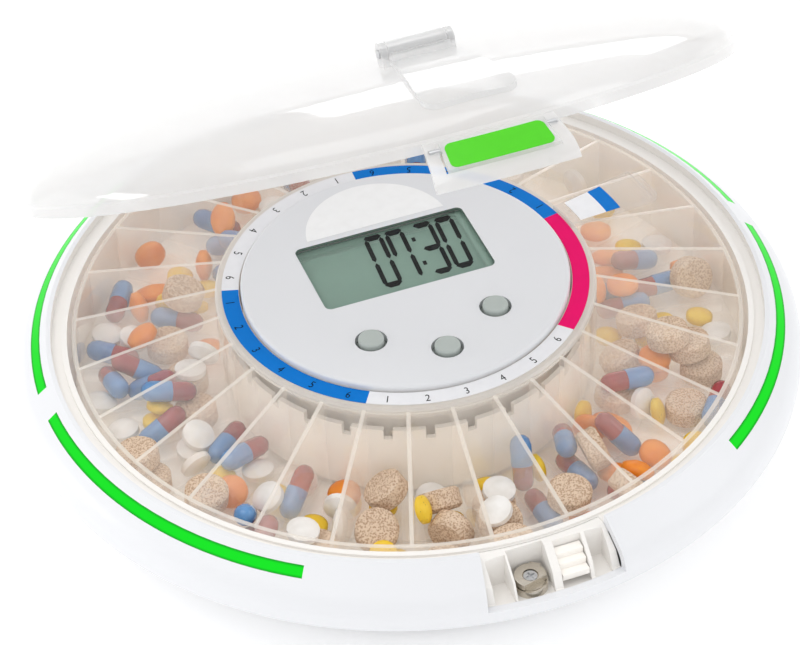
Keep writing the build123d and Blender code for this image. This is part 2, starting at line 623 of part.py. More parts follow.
with BuildPart() as drive_pinion:
    with BuildSketch(Plane.XY.offset(GEAR_LOW_Z)):
        with BuildLine():
            Polyline(*shifted(gear_outline(PINION_TEETH, ADDENDUM, DEDENDUM, 90, GEAR_BACKLASH), PINION_Y),
                     close=True)
        make_face()
    extrude(amount=GEAR_W)
    with BuildSketch(Plane.XY.offset(GEAR_LOW_Z - COLLAR_H)):
        with Locations((0, PINION_Y)):
            Circle(COLLAR_R)
    extrude(amount=COLLAR_H)
    with BuildSketch(Plane.XY.offset(GEAR_LOW_Z - COLLAR_H)):
        with Locations((0, PINION_Y)):
            Circle(SHAFT_R + SHAFT_RUN)
    extrude(amount=GEAR_W + COLLAR_H, mode=Mode.SUBTRACT)
save(drive_pinion, "drive_pinion")

with BuildPart() as pinion_axle:
    with BuildSketch(Plane.XY.offset(SHELF_TOP_Z - SHELF_T)):
        with Locations((0, PINION_Y)):
            Circle(SHAFT_R)
    extrude(amount=MOTOR_Z - SHELF_TOP_Z + SHELF_T)
save(pinion_axle, "pinion_axle")

PLATE_NEAR_Y = 9.0
PLATE_R = TOWER_IN_R - 0.3
with BuildPart() as motor_plate:
    with BuildSketch(Plane.XY.offset(PLATE_Z)):
        with Locations((0, PLATE_NEAR_Y)):
            Rectangle(2 * SHELF_HALF, TOWER_R, align=(Align.CENTER, Align.MIN))
        Circle(PLATE_R, mode=Mode.INTERSECT)
        with Locations((0, PINION_Y)):
            Circle(SHAFT_R, mode=Mode.SUBTRACT)
        with Locations((0, MOTOR_Y)):
            Circle(SHAFT_R + 0.2, mode=Mode.SUBTRACT)
    extrude(amount=PLATE_T)
save(motor_plate, "motor_plate")

with BuildPart() as gearmotor:
    with BuildSketch(Plane.XY.offset(MOTOR_Z)):
        with Locations((0, MOTOR_Y)):
            Circle(MOTOR_R)
    extrude(amount=MOTOR_H)
    fillet(gearmotor.edges().group_by(Axis.Z)[-1], 1.0)
save(gearmotor, "gearmotor")

with BuildPart() as motor_shaft:
    with BuildSketch(Plane.XY.offset(GEAR_LOW_Z + 0.2)):
        with Locations((0, MOTOR_Y)):
            Circle(SHAFT_R)
    extrude(amount=MOTOR_Z - GEAR_LOW_Z - 0.25)
save(motor_shaft, "motor_shaft")

with BuildPart() as motor_gear:
    with BuildSketch(Plane.XY.offset(GEAR_LOW_Z)):
        with BuildLine():
            Polyline(*shifted(gear_outline(MOTOR_TEETH, ADDENDUM, DEDENDUM, 90 + 180 / MOTOR_TEETH,
                                           GEAR_BACKLASH), MOTOR_Y), close=True)
        make_face()
        with Locations((0, MOTOR_Y)):
            Circle(SHAFT_R, mode=Mode.SUBTRACT)
    extrude(amount=GEAR_W)
save(motor_gear, "motor_gear")

# ---------------------------------------------------------------- hub: cover, display, buttons, board
HUB_SKIRT_R = TOWER_IN_R - 0.2
HUB_SKIRT_T, HUB_SKIRT_DROP = 2.0, 3.6
BUTTONS = {
    "button_left": (-BUTTON_SIDE_X, BUTTON_SIDE_Y),
    "button_middle": (0, BUTTON_MID_Y),
    "button_right": (BUTTON_SIDE_X, BUTTON_SIDE_Y),
}
LENS_FIT = 0.1

with BuildPart() as hub_cover:
    with BuildSketch(Plane.XY.offset(HUB_Z)):
        Circle(HUB_R)
    extrude(amount=HUB_T)
    fillet(hub_cover.edges().group_by(Axis.Z)[-1], HUB_EDGE)
    with BuildSketch(Plane.XY.offset(HUB_Z - HUB_SKIRT_DROP)):
        Circle(HUB_SKIRT_R)
        Circle(HUB_SKIRT_R - HUB_SKIRT_T, mode=Mode.SUBTRACT)
    extrude(amount=HUB_SKIRT_DROP)
    with BuildSketch(Plane.XY.offset(HUB_Z)):
        with Locations((0, DISPLAY_Y)):
            RectangleRounded(DISPLAY_W + 2 * (LENS_MARGIN + LENS_FIT), DISPLAY_H + 2 * (LENS_MARGIN + LENS_FIT),
                             DISPLAY_CORNER + LENS_MARGIN)
    extrude(amount=LENS_TOP_Z - HUB_Z, mode=Mode.SUBTRACT)
    with BuildSketch(Plane.XY.offset(HUB_Z)):
        with Locations((0, DISPLAY_Y)):
            RectangleRounded(DISPLAY_W, DISPLAY_H, DISPLAY_CORNER)
        with Locations(*BUTTONS.values()):
            Circle(BUTTON_R + BUTTON_GAP)
    extrude(amount=HUB_T, mode=Mode.SUBTRACT)
save(hub_cover, "hub_cover")

with BuildPart() as display_lens:
    with BuildSketch(Plane.XY.offset(LENS_Z)):
        with Locations((0, DISPLAY_Y)):
            RectangleRounded(DISPLAY_W + 2 * LENS_MARGIN, DISPLAY_H + 2 * LENS_MARGIN,
                             DISPLAY_CORNER + LENS_MARGIN)
    extrude(amount=LENS_T)
save(display_lens, "display_lens")

GLASS_W, GLASS_L = DISPLAY_W + 1, DISPLAY_H + 1
with BuildPart() as display_glass:
    with BuildSketch(Plane.XY.offset(GLASS_Z)):
        with Locations((0, DISPLAY_Y)):
            Rectangle(GLASS_W, GLASS_L)
    extrude(amount=GLASS_T)
save(display_glass, "display_glass")

FRAME_LIP = 1.2
FRAME_FIT = 0.2
FRAME_TOP_Z = HUB_Z - 0.2
FRAME_LEG = 3.0
FRAME_W, FRAME_L = GLASS_W + 2 * (FRAME_FIT + FRAME_WALL), GLASS_L + 2 * (FRAME_FIT + FRAME_WALL)
with BuildPart() as display_frame:
    with BuildSketch(Plane.XY.offset(GLASS_Z - FRAME_LIP)):
        with Locations((0, DISPLAY_Y)):
            Rectangle(FRAME_W, FRAME_L)
            Rectangle(GLASS_W - 4, GLASS_L - 4, mode=Mode.SUBTRACT)
    extrude(amount=FRAME_TOP_Z - GLASS_Z + FRAME_LIP)
    with BuildSketch(Plane.XY.offset(GLASS_Z)):
        with Locations((0, DISPLAY_Y)):
            Rectangle(GLASS_W + 2 * FRAME_FIT, GLASS_L + 2 * FRAME_FIT)
    extrude(amount=GLASS_T, mode=Mode.SUBTRACT)
    with BuildSketch(Plane.XY.offset(BOARD_TOP_Z)):
        with Locations((0, DISPLAY_Y)):
            with GridLocations(FRAME_W - FRAME_LEG, FRAME_L - FRAME_LEG, 2, 2):
                Rectangle(FRAME_LEG, FRAME_LEG)
    extrude(amount=GLASS_Z - FRAME_LIP - BOARD_TOP_Z)
save(display_frame, "display_frame")

STEM_R = 2.0
FLANGE_R, FLANGE_T = 5.4, 1.2
FLANGE_TOP_Z = HUB_Z - 0.2
STEM_Z = BOARD_TOP_Z + SWITCH_H + BUTTON_TRAVEL + 0.2
for name, place in BUTTONS.items():
    with BuildPart() as button:
        with BuildSketch(Plane.XY.offset(STEM_Z)):
            with Locations(place):
                Circle(STEM_R)
        extrude(amount=FLANGE_TOP_Z - STEM_Z)
        with BuildSketch(Plane.XY.offset(FLANGE_TOP_Z - FLANGE_T)):
            with Locations(place):
                Circle(FLANGE_R)
        extrude(amount=FLANGE_T)
        with BuildSketch(Plane.XY.offset(FLANGE_TOP_Z)):
            with Locations(place):
                Circle(BUTTON_R)
        extrude(amount=HUB_TOP_Z + BUTTON_RISE - FLANGE_TOP_Z)
        fillet(button.edges().group_by(Axis.Z)[-1], 0.8)
    save(button, name)

with BuildPart() as main_board:
    with BuildSketch(Plane.XY.offset(BOARD_Z)):
        Circle(BOARD_R)
    extrude(amount=BOARD_T)
save(main_board, "main_board")

with BuildPart() as switch_set:
    with BuildSketch(Plane.XY.offset(BOARD_TOP_Z)):
        with Locations(*BUTTONS.values()):
            Rectangle(SWITCH_SIZE, SWITCH_SIZE)
    extrude(amount=SWITCH_H)
save(switch_set, "switch_set")

BUZZER_X, BUZZER_R, BUZZER_H = -34.0, 6.0, 5.0
SENSOR_X, SENSOR_W, SENSOR_L, SENSOR_H = 33.0, 8.0, 5.0, 4.0
PARTS_Y = -14.0
with BuildPart() as buzzer:
    with BuildSketch(Plane.XY.offset(BOARD_TOP_Z)):
        with Locations((BUZZER_X, PARTS_Y)):
            Circle(BUZZER_R)
    extrude(amount=BUZZER_H)
    with BuildSketch(Plane.XY.offset(BOARD_TOP_Z + BUZZER_H)):
        with Locations((BUZZER_X, PARTS_Y)):
            Circle(1.0)
    extrude(amount=-1.0, mode=Mode.SUBTRACT)
save(buzzer, "buzzer")

with BuildPart() as tilt_sensor:
    with BuildSketch(Plane.XY.offset(BOARD_TOP_Z)):
        with Locations((SENSOR_X, PARTS_Y)):
            Rectangle(SENSOR_W, SENSOR_L)
    extrude(amount=SENSOR_H)
save(tilt_sensor, "tilt_sensor")

# ---------------------------------------------------------------- latch housing, latch and lock
HOUSING_HALF = NOTCH_HALF - 0.05
HOUSING_R = BASE_R - SHELL_WALL - 0.1
POCKET_FRONT_Y = -(BASE_R - 1)
POCKET_BACK_Y = 11.6 - BASE_R
LOCK_BAY_BACK_Y = POCKET_BACK_Y + 1.2
POCKETS = (                 # left and right edge, back edge
    (-17.0, -11.3, POCKET_BACK_Y),
    (LOCK_X - 5.3, LOCK_X + 5.3, LOCK_BAY_BACK_Y),
    (2.3, 10.6, POCKET_BACK_Y),
    (11.7, 17.0, POCKET_BACK_Y),
)
with BuildPart() as latch_housing:
    with BuildSketch(sector_plane(-90 - HOUSING_HALF)):
        with BuildLine():
            Polyline((WELL_BACK_R, SEAT_Z), (SEAT_OUTER_R + 0.3, SEAT_Z), (BASE_R - 4.8, NOTCH_FLOOR_Z + 4.5),
                     (BASE_R - 2.8, NOTCH_FLOOR_Z), (HOUSING_R, NOTCH_FLOOR_Z),
                     (HOUSING_R, HOUSING_FLOOR_Z - HOUSING_T), (WELL_BACK_R, HOUSING_FLOOR_Z - HOUSING_T),
                     close=True)
        make_face()
    revolve(axis=Axis.Z, revolution_arc=2 * HOUSING_HALF)
    with BuildSketch(Plane.XY.offset(HOUSING_FLOOR_Z)):
        for left, right, back in POCKETS:
            with Locations((left, back)):
                Rectangle(right - left, back - POCKET_FRONT_Y, align=(Align.MIN, Align.MAX))
    extrude(amount=SEAT_Z, mode=Mode.SUBTRACT)
    with BuildSketch(Plane.XY.offset(HOUSING_FLOOR_Z - HOUSING_T)):
        with Locations((LOCK_X, LOCK_Y)):
            Circle(LOCK_R)
    extrude(amount=HOUSING_T, mode=Mode.SUBTRACT)
save(latch_housing, "latch_housing")

LATCH_X = (2.6, 10.3)
LATCH_BACK_Y = POCKET_BACK_Y - 0.3
LATCH_LOW_Z = HOUSING_FLOOR_Z + LATCH_TRAVEL + 0.2
LATCH_STEPS = (             # front edge and top of each step
    (8.6 - BASE_R, 33.9),
    (6.4 - BASE_R, 32.1),
    (4.0 - BASE_R, 30.1),
)
SPRING_Y, SPRING_R, SPRING_WIRE = 9.0 - BASE_R, 1.3, 0.2
SPRING_TOP_Z = 30.6
SPRING_TURNS = 5
LATCH_MID_X = (LATCH_X[0] + LATCH_X[1]) / 2
with BuildPart() as latch_slider:
    for front, top in LATCH_STEPS:
        with BuildSketch(Plane.XY.offset(LATCH_LOW_Z)):
            with Locations((LATCH_MID_X, LATCH_BACK_Y)):
                Rectangle(LATCH_X[1] - LATCH_X[0], LATCH_BACK_Y - front, align=(Align.CENTER, Align.MAX))
        extrude(amount=top - LATCH_LOW_Z)
    with BuildSketch(Plane.XY.offset(LATCH_LOW_Z)):
        with Locations((LATCH_MID_X, SPRING_Y)):
            Circle(SPRING_R + SPRING_WIRE + 0.2)
    extrude(amount=SPRING_TOP_Z - LATCH_LOW_Z, mode=Mode.SUBTRACT)
save(latch_slider, "latch_slider")

with BuildPart() as latch_spring:
    low, high = HOUSING_FLOOR_Z + SPRING_WIRE, SPRING_TOP_Z - SPRING_WIRE
    with BuildLine():
        coil = Helix(pitch=(high - low) / SPRING_TURNS, height=high - low, radius=SPRING_R,
                     center=(LATCH_MID_X, SPRING_Y, low))
    with BuildSketch(Plane(origin=coil @ 0, z_dir=coil % 0)):
        Circle(SPRING_WIRE)
    sweep(path=coil, is_frenet=True)
save(latch_spring, "latch_spring")

PLUG_R = LOCK_R - 0.8
with BuildPart() as lock_barrel:
    with BuildSketch(Plane.XY.offset(LOCK_BOTTOM_Z)):
        with Locations((LOCK_X, LOCK_Y)):
            Circle(LOCK_R)
            Circle(PLUG_R, mode=Mode.SUBTRACT)
    extrude(amount=LOCK_TOP_Z - LOCK_BOTTOM_Z)
save(lock_barrel, "lock_barrel")

CAM_Z = LOCK_TOP_Z + 0.2
with BuildPart() as lock_plug:
    with BuildSketch(Plane.XY.offset(LOCK_BOTTOM_Z + 0.4)):
        with Locations((LOCK_X, LOCK_Y)):
            Circle(PLUG_R - RUN_FIT)
    extrude(amount=CAM_Z - LOCK_BOTTOM_Z - 0.4)
    with BuildSketch(Plane.XY.offset(CAM_Z)):
        with Locations((LOCK_X, LOCK_Y)):
            Circle(1.0)
    extrude(amount=-4, mode=Mode.SUBTRACT)
save(lock_plug, "lock_plug")

CAM_R, CAM_NOSE_R = 4.4, 4.8
CAM_TURN = 13.6             # the plate's straight edge, turned from the X axis
CAM_CHORD = 2.4             # distance of that edge from the lock's axis
CAM_PLANE = Plane(origin=(LOCK_X, LOCK_Y, CAM_Z), x_dir=(cos(radians(CAM_TURN)), sin(radians(CAM_TURN)), 0))
SCREW_RECESS_R, SCREW_RECESS_H = 2.2, 1.0
with BuildPart() as lock_cam:
    with BuildSketch(CAM_PLANE):
        Circle(CAM_R)
        Rectangle(CAM_NOSE_R, 3.0, rotation=38, align=(Align.MIN, Align.CENTER))
        with Locations((0, -CAM_CHORD)):
            Rectangle(4 * CAM_R, 2 * CAM_R, align=(Align.CENTER, Align.MAX), mode=Mode.SUBTRACT)
        Circle(1.0, mode=Mode.SUBTRACT)
    extrude(amount=CAM_T)
    with BuildSketch(CAM_PLANE.offset(CAM_T)):
        Circle(SCREW_RECESS_R)
    extrude(amount=-SCREW_RECESS_H, mode=Mode.SUBTRACT)
save(lock_cam, "lock_cam")

with BuildPart() as lock_screw:
    with BuildSketch(CAM_PLANE.offset(-3.5)):
        Circle(1.0)
    extrude(amount=3.5 + CAM_T - SCREW_RECESS_H)
    with BuildSketch(CAM_PLANE.offset(CAM_T - SCREW_RECESS_H)):
        Circle(SCREW_RECESS_R - 0.3)
    extrude(amount=SCREW_RECESS_H - 0.2)
    with BuildSketch(CAM_PLANE.offset(CAM_T - 0.2)):
        Rectangle(2.6, 0.5)
        Rectangle(0.5, 2.6)
    extrude(amount=-0.5, mode=Mode.SUBTRACT)
save(lock_screw, "lock_screw")

# ---------------------------------------------------------------- lid
DOOR_EAR_X = BARREL_LEN / 2 + 0.3
EAR_SLOTS = ((-EAR_END - HINGE_GAP, -KNUCKLE_OUT), (-KNUCKLE_IN, KNUCKLE_IN),
             (KNUCKLE_OUT, EAR_END + HINGE_GAP))
SLOT_Y = HINGE_Y - KNUCKLE_R - 0.6
SLOT_TOP_Z = HINGE_Z + KNUCKLE_R + 0.6
INNER_DOME_R = DOME_R - LID_WALL
TONGUE_LOW_Z = NOTCH_FLOOR_Z + 0.3
TONGUE_IN_R = LID_R - 0.3
WINDOW = (BASE_R - 9.1, BASE_R - 1.2)
PRESS = (WINDOW[0] + 0.25, WINDOW[1] - 0.25)
PRESS_RISE = 0.6
PIVOT = sunk(WINDOW[0] + 1.0, 1.2)
PIVOT_R = 0.8
PRESS_PIN_X = (13.0, 17.2)
PRESS_EYE_X = (11.6, 14.0)
PRESS_EYE_R = 1.3
LABEL_EDGE = 0.5            # degrees of bare tab beside its label
LABEL_CORNER = 1.9
DOOR_PIN_R = 1.2
DOOR_PIN_HALF = DOOR_EAR_X + DOOR_EAR_T + 0.3
EAR_BLOCK_HALF = 2.5
EAR_ROOT_Z = 55.4
FLAP_NEAR = (OUTLET_NEAR_Y + 5.5, 8.5)    # y and half width of the door's edges
FLAP_FAR = (OUTLET_FAR_Y - 2.5, 13.5)
STRAP_L, STRAP_T = 5.5, 2.4
STRAP_Z = DOOR_AXIS_Z - 2.67
ARC_TURN = 15               # degrees of the ellipse per arc


def dome_arcs(half_width, rise):
    """Draw a quarter of the dome's ellipse as arcs, the last one level where it meets the axis."""
    def at(turn):
        return half_width * cos(radians(turn)), DOME_Z + rise * sin(radians(turn))

    for turn in range(0, 90 - ARC_TURN, ARC_TURN):
        ThreePointArc(at(turn), at(turn + ARC_TURN / 2), at(turn + ARC_TURN))
    TangentArc((0, DOME_Z + rise), at(90 - ARC_TURN), tangent=(1, 0))


def trapezoid(near_y, near_half, far_y, far_half):
    """Corners of a panel that widens towards the lid's front."""
    return (-near_half, near_y), (near_half, near_y), (far_half, far_y), (-far_half, far_y)


with BuildPart() as lid_dome:
    with BuildSketch(Plane.XZ):
        with BuildLine():
            Polyline((LID_R - LID_WALL, LID_RIM_Z), (LID_R, LID_RIM_Z), (LID_R, LID_RIM_TOP_Z),
                     (DOME_R, DOME_Z))
            dome_arcs(DOME_R, DOME_RISE)
            Line((0, DOME_Z + DOME_RISE), (0, DOME_Z + DOME_RISE - LID_WALL))
            dome_arcs(INNER_DOME_R, DOME_RISE - LID_WALL)
            Polyline((INNER_DOME_R, DOME_Z), (LID_R - LID_WALL, LID_RIM_TOP_Z - LID_WALL),
                     (LID_R - LID_WALL, LID_RIM_Z))
        make_face()
    revolve(axis=Axis.Z)
    with BuildSketch(Plane.XY.offset(DOME_Z)) as outlet:
        with BuildLine():
            Polyline(*trapezoid(OUTLET_NEAR_Y, OUTLET_NEAR_W / 2, OUTLET_FAR_Y, OUTLET_FAR_W / 2), close=True)
        make_face()
        fillet(outlet.vertices(), 2)
    extrude(amount=DOME_RISE, mode=Mode.SUBTRACT)
    # tongue down the front, with a window for the press tab
    with BuildSketch(sector_plane(-90 - TONGUE_HALF)) as tongue:
        with BuildLine():
            Polyline((TONGUE_IN_R, LID_RIM_TOP_Z), (SHOULDER_R, SHOULDER_Z), (BASE_R, shoulder_z(BASE_R)),
                     (BASE_R, SEAM_Z), (BASE_R - TONGUE_T, SEAM_Z),
                     (BASE_R - TONGUE_T, shoulder_z(BASE_R - TONGUE_T) - TONGUE_T * SLOPE_LEN),
                     (LID_R + 0.5, shoulder_z(LID_R + 0.5) - TONGUE_T * SLOPE_LEN),
                     (TONGUE_IN_R, shoulder_z(LID_R + 0.5) - TONGUE_T * SLOPE_LEN), close=True)
        make_face()
        fillet(corner(tongue, BASE_R, shoulder_z(BASE_R)), SHOULDER_ROUND)
        fillet(corner(tongue, BASE_R - TONGUE_T, shoulder_z(BASE_R - TONGUE_T) - TONGUE_T * SLOPE_LEN),
               SHOULDER_ROUND - TONGUE_T)
        with Locations((BASE_R, TONGUE_LOW_Z)):
            Rectangle(BASE_R, BASE_R, align=(Align.CENTER, Align.MAX), mode=Mode.SUBTRACT)
    revolve(axis=Axis.Z, revolution_arc=2 * TONGUE_HALF)
    with BuildSketch(sector_plane(-90 - PRESS_HALF)):
        with BuildLine():
            Polyline(sunk(WINDOW[0], -2), sunk(WINDOW[1], -2), sunk(WINDOW[1], 6), sunk(WINDOW[0], 6),
                     close=True)
        make_face()
    revolve(axis=Axis.Z, revolution_arc=2 * PRESS_HALF, mode=Mode.SUBTRACT)
    # hinge knuckles, and slots that the base's ears stand in
    for side in (-1, 1):
        with BuildSketch(Plane.YZ.offset(side * KNUCKLE_IN)):
            with Locations((HINGE_Y, HINGE_Z)):
                Circle(KNUCKLE_R)
        extrude(amount=side * (KNUCKLE_OUT - KNUCKLE_IN))
    for left, right in EAR_SLOTS:
        with BuildSketch(Plane.YZ.offset(left)):
            with Locations((SLOT_Y, LID_RIM_Z - 1)):
                Rectangle(LID_R, SLOT_TOP_Z - LID_RIM_Z + 1, align=(Align.MIN, Align.MIN))
        extrude(amount=right - left, mode=Mode.SUBTRACT)
    with BuildSketch(Plane.YZ.offset(-EAR_END)):
        with Locations((HINGE_Y, HINGE_Z)):
            Circle(HINGE_PIN_R + RUN_FIT)
    extrude(amount=2 * EAR_END, mode=Mode.SUBTRACT)
    # ears that carry the dispensing door's pin
    for side in (-1, 1):
        with BuildSketch(Plane.YZ.offset(side * DOOR_EAR_X)):
            with Locations((DOOR_AXIS_Y, DOOR_AXIS_Z)):
                Circle(BARREL_R)
            with Locations((DOOR_AXIS_Y, DOOR_AXIS_Z)):
                Rectangle(2 * EAR_BLOCK_HALF, DOOR_AXIS_Z - EAR_ROOT_Z, align=(Align.CENTER, Align.MAX))
            with Locations((DOOR_AXIS_Y, DOOR_AXIS_Z)):
                Circle(DOOR_PIN_R, mode=Mode.SUBTRACT)
        extrude(amount=side * DOOR_EAR_T)
    # holes for the press tab's pins
    for side in (-1, 1):
        with BuildSketch(Plane.YZ.offset(side * PRESS_PIN_X[0])):
            with Locations((-PIVOT[0], PIVOT[1])):
                Circle(PIVOT_R)
        extrude(amount=side * (PRESS_PIN_X[1] - PRESS_PIN_X[0]), mode=Mode.SUBTRACT)
save_on_lid(lid_dome, "lid_dome")

with BuildPart() as press_tab:
    with BuildSketch(sector_plane(-90 - PRESS_HALF + PRESS_GAP)):
        with BuildLine():
            Polyline(sunk(PRESS[0], -PRESS_RISE), sunk(PRESS[1], -PRESS_RISE),
                     sunk(PRESS[1], TONGUE_T - PRESS_RISE), sunk(PRESS[0], TONGUE_T - PRESS_RISE), close=True)
        make_face()
    revolve(axis=Axis.Z, revolution_arc=2 * (PRESS_HALF - PRESS_GAP))
    for side in (-1, 1):
        with BuildSketch(Plane.YZ.offset(side * PRESS_EYE_X[0])):
            with Locations((-PIVOT[0], PIVOT[1])):
                Circle(PRESS_EYE_R)
        extrude(amount=side * (PRESS_EYE_X[1] - PRESS_EYE_X[0]))
        with BuildSketch(Plane.YZ.offset(side * (PRESS_PIN_X[0] - 0.2))):
            with Locations((-PIVOT[0], PIVOT[1])):
                Circle(PIVOT_R + RUN_FIT)
        extrude(amount=side * PRESS_PIN_X[1], mode=Mode.SUBTRACT)
save_on_lid(press_tab, "press_tab")

with BuildPart() as press_pins:
    for side in (-1, 1):
        with BuildSketch(Plane.YZ.offset(side * PRESS_PIN_X[0])):
            with Locations((-PIVOT[0], PIVOT[1])):
                Circle(PIVOT_R)
        extrude(amount=side * (PRESS_PIN_X[1] - PRESS_PIN_X[0]))
save_on_lid(press_pins, "press_pins")

with BuildPart() as press_label:
    with BuildSketch(sector_plane(-90 - PRESS_HALF + PRESS_GAP + LABEL_EDGE)):
        with BuildLine():
            Polyline(sunk(PRESS[0] + 0.7, -PRESS_RISE), sunk(PRESS[0] + 0.7, -PRESS_RISE - LABEL_T),
                     sunk(PRESS[1] - 0.1, -PRESS_RISE - LABEL_T), sunk(PRESS[1] - 0.1, -PRESS_RISE),
                     close=True)
        make_face()
    revolve(axis=Axis.Z, revolution_arc=2 * (PRESS_HALF - PRESS_GAP - LABEL_EDGE))
    fillet(press_label.edges().filter_by(lambda edge: edge.length < 2 * LABEL_T), LABEL_CORNER)
save_on_lid(press_label, "press_label")

with BuildPart() as dispensing_door:
    with BuildSketch(Plane.XZ):
        with BuildLine():
            dome_arcs(DOME_R + DOOR_GAP + DOOR_T, DOME_RISE + DOOR_GAP + DOOR_T)
            Line((0, DOME_Z + DOME_RISE + DOOR_GAP + DOOR_T), (0, DOME_Z + DOME_RISE + DOOR_GAP))
            dome_arcs(DOME_R + DOOR_GAP, DOME_RISE + DOOR_GAP)
            Line((DOME_R + DOOR_GAP, DOME_Z), (DOME_R + DOOR_GAP + DOOR_T, DOME_Z))
        make_face()
    revolve(axis=Axis.Z)
    with BuildSketch(Plane.XY.offset(DOME_Z)) as flap:
        with BuildLine():
            Polyline(*trapezoid(FLAP_NEAR[0], FLAP_NEAR[1], FLAP_FAR[0], FLAP_FAR[1]), close=True)
        make_face()
        fillet(flap.vertices().sort_by(Axis.Y)[:2], 4)
    extrude(amount=2 * DOME_RISE, mode=Mode.INTERSECT)
    with BuildSketch(Plane.YZ.offset(-BARREL_LEN / 2)):
        with Locations((DOOR_AXIS_Y, DOOR_AXIS_Z)):
            Circle(BARREL_R)
        with Locations((DOOR_AXIS_Y, STRAP_Z)):
            Rectangle(STRAP_L, STRAP_T, align=(Align.MAX, Align.MIN))
    extrude(amount=BARREL_LEN)
    with BuildSketch(Plane.YZ.offset(-BARREL_LEN)):
        with Locations((DOOR_AXIS_Y, DOOR_AXIS_Z)):
            Circle(DOOR_PIN_R + RUN_FIT)
    extrude(amount=2 * BARREL_LEN, mode=Mode.SUBTRACT)
save_on_lid(dispensing_door, "dispensing_door")

with BuildPart() as door_pin:
    with BuildSketch(Plane.YZ.offset(-DOOR_PIN_HALF)):
        with Locations((DOOR_AXIS_Y, DOOR_AXIS_Z)):
            Circle(DOOR_PIN_R)
    extrude(amount=2 * DOOR_PIN_HALF)
save_on_lid(door_pin, "door_pin")
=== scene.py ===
"""Studio scene of a round automatic pill dispenser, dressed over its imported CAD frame.

Each sub-assembly is a class that models its pieces and gives them their finishes. The frame is
the CAD's: +Z up, -Y the front, origin on the table. Sizes are in millimetres unless a comment
says metres, and are multiplied by MM where they reach a mesh or a pattern.
"""
from __future__ import annotations

import json
import logging
import math
import random
from dataclasses import dataclass, field
from enum import Enum
from typing import Callable, Iterable, Sequence

import bmesh
import bpy
from mathutils import Matrix, Vector

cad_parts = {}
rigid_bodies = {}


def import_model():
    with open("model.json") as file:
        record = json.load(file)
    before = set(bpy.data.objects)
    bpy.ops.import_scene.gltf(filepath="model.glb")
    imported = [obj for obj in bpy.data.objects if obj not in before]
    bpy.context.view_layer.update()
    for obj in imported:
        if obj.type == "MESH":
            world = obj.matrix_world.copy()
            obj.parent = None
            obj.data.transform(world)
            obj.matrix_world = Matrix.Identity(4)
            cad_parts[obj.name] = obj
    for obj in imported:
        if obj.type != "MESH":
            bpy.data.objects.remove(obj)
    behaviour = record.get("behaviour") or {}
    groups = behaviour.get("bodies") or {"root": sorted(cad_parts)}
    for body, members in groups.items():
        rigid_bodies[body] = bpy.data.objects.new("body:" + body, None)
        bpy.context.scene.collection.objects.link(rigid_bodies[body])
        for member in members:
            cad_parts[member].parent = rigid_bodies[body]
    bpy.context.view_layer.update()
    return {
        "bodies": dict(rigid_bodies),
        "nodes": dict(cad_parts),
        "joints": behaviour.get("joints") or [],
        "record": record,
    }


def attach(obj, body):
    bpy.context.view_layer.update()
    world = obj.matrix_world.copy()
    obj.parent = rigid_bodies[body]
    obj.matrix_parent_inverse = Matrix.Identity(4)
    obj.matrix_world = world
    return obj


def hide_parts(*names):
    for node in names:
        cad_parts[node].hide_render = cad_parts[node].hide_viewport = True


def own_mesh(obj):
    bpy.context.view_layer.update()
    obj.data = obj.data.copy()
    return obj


LOG = logging.getLogger("dispenser")
MM = 0.001
WELD = 1e-6         # metres: doubles closer than this are one vertex
SPIN_WELD = 2e-6    # metres: the same, where a spin closes on itself

Colour = tuple[float, float, float, float]
Flat = tuple[float, float]
Point = tuple[float, float, float]
Face = bpy.types.MeshPolygon
Material = bpy.types.Material
Node = bpy.types.Node
NodeTree = bpy.types.NodeTree
Object = bpy.types.Object
Socket = bpy.types.NodeSocket


# ------------------------------------------------------------------ colour and pattern helpers
def linear(code: str) -> Colour:
    """Turn an sRGB hex colour into linear light.

    Args:
        code: Six hex digits, with or without a hash.

    Returns:
        Red, green and blue, linear, and an alpha of 1.
    """
    code = code.lstrip("#")
    values = []
    for start in (0, 2, 4):
        share = int(code[start:start + 2], 16) / 255
        values.append(share / 12.92 if share <= 0.04045 else ((share + 0.055) / 1.055) ** 2.4)
    return values[0], values[1], values[2], 1.0


def add(tree: NodeTree, kind: str, settings: dict | None = None, **inputs: object) -> Node:
    """Add a node, set it up and link it.

    Args:
        tree: The tree to add to.
        kind: The node's class name, such as ShaderNodeMix.
        settings: Attributes to set on the node before its sockets are filled. A colour ramp's
            stops, as places and colours in order, are given here too.
        inputs: Values, nodes or output sockets by input name, with underscores for spaces, or
            i0, i1 for a socket by its number. A node stands for its first output.

    Returns:
        The new node.
    """
    node = tree.nodes.new(kind)
    for name, value in (settings or {}).items():
        if name == "stops":
            for element, (place, colour) in zip(node.color_ramp.elements, value):
                element.position = place
                element.color = colour
        else:
            setattr(node, name, value)
    for name, value in inputs.items():
        numbered = name[0] == "i" and name[1:].isdigit()
        socket = node.inputs[int(name[1:]) if numbered else name.replace("_", " ")]
        if isinstance(value, Node):
            value = value.outputs[0]
        if isinstance(value, Socket):
            tree.links.new(value, socket)
        else:
            socket.default_value = value
    return node


def mottle(tree: NodeTree, size_mm: float, detail: float = 2.0) -> Node:
    """Return a cloudy pattern, 0 to 1.

    Args:
        tree: The tree to add to.
        size_mm: Size of its largest blots.
        detail: Octaves of finer blots.

    Returns:
        The pattern's node.
    """
    return add(tree, "ShaderNodeTexNoise", Vector=add(tree, "ShaderNodeTexCoord").outputs["Object"],
               Scale=1 / (size_mm * MM), Detail=detail)


def grains(tree: NodeTree, size_mm: float) -> Node:
    """Return the distance from the nearest of many scattered grains, in grain sizes."""
    return add(tree, "ShaderNodeTexVoronoi", Vector=add(tree, "ShaderNodeTexCoord").outputs["Object"],
               Scale=1 / (size_mm * MM))


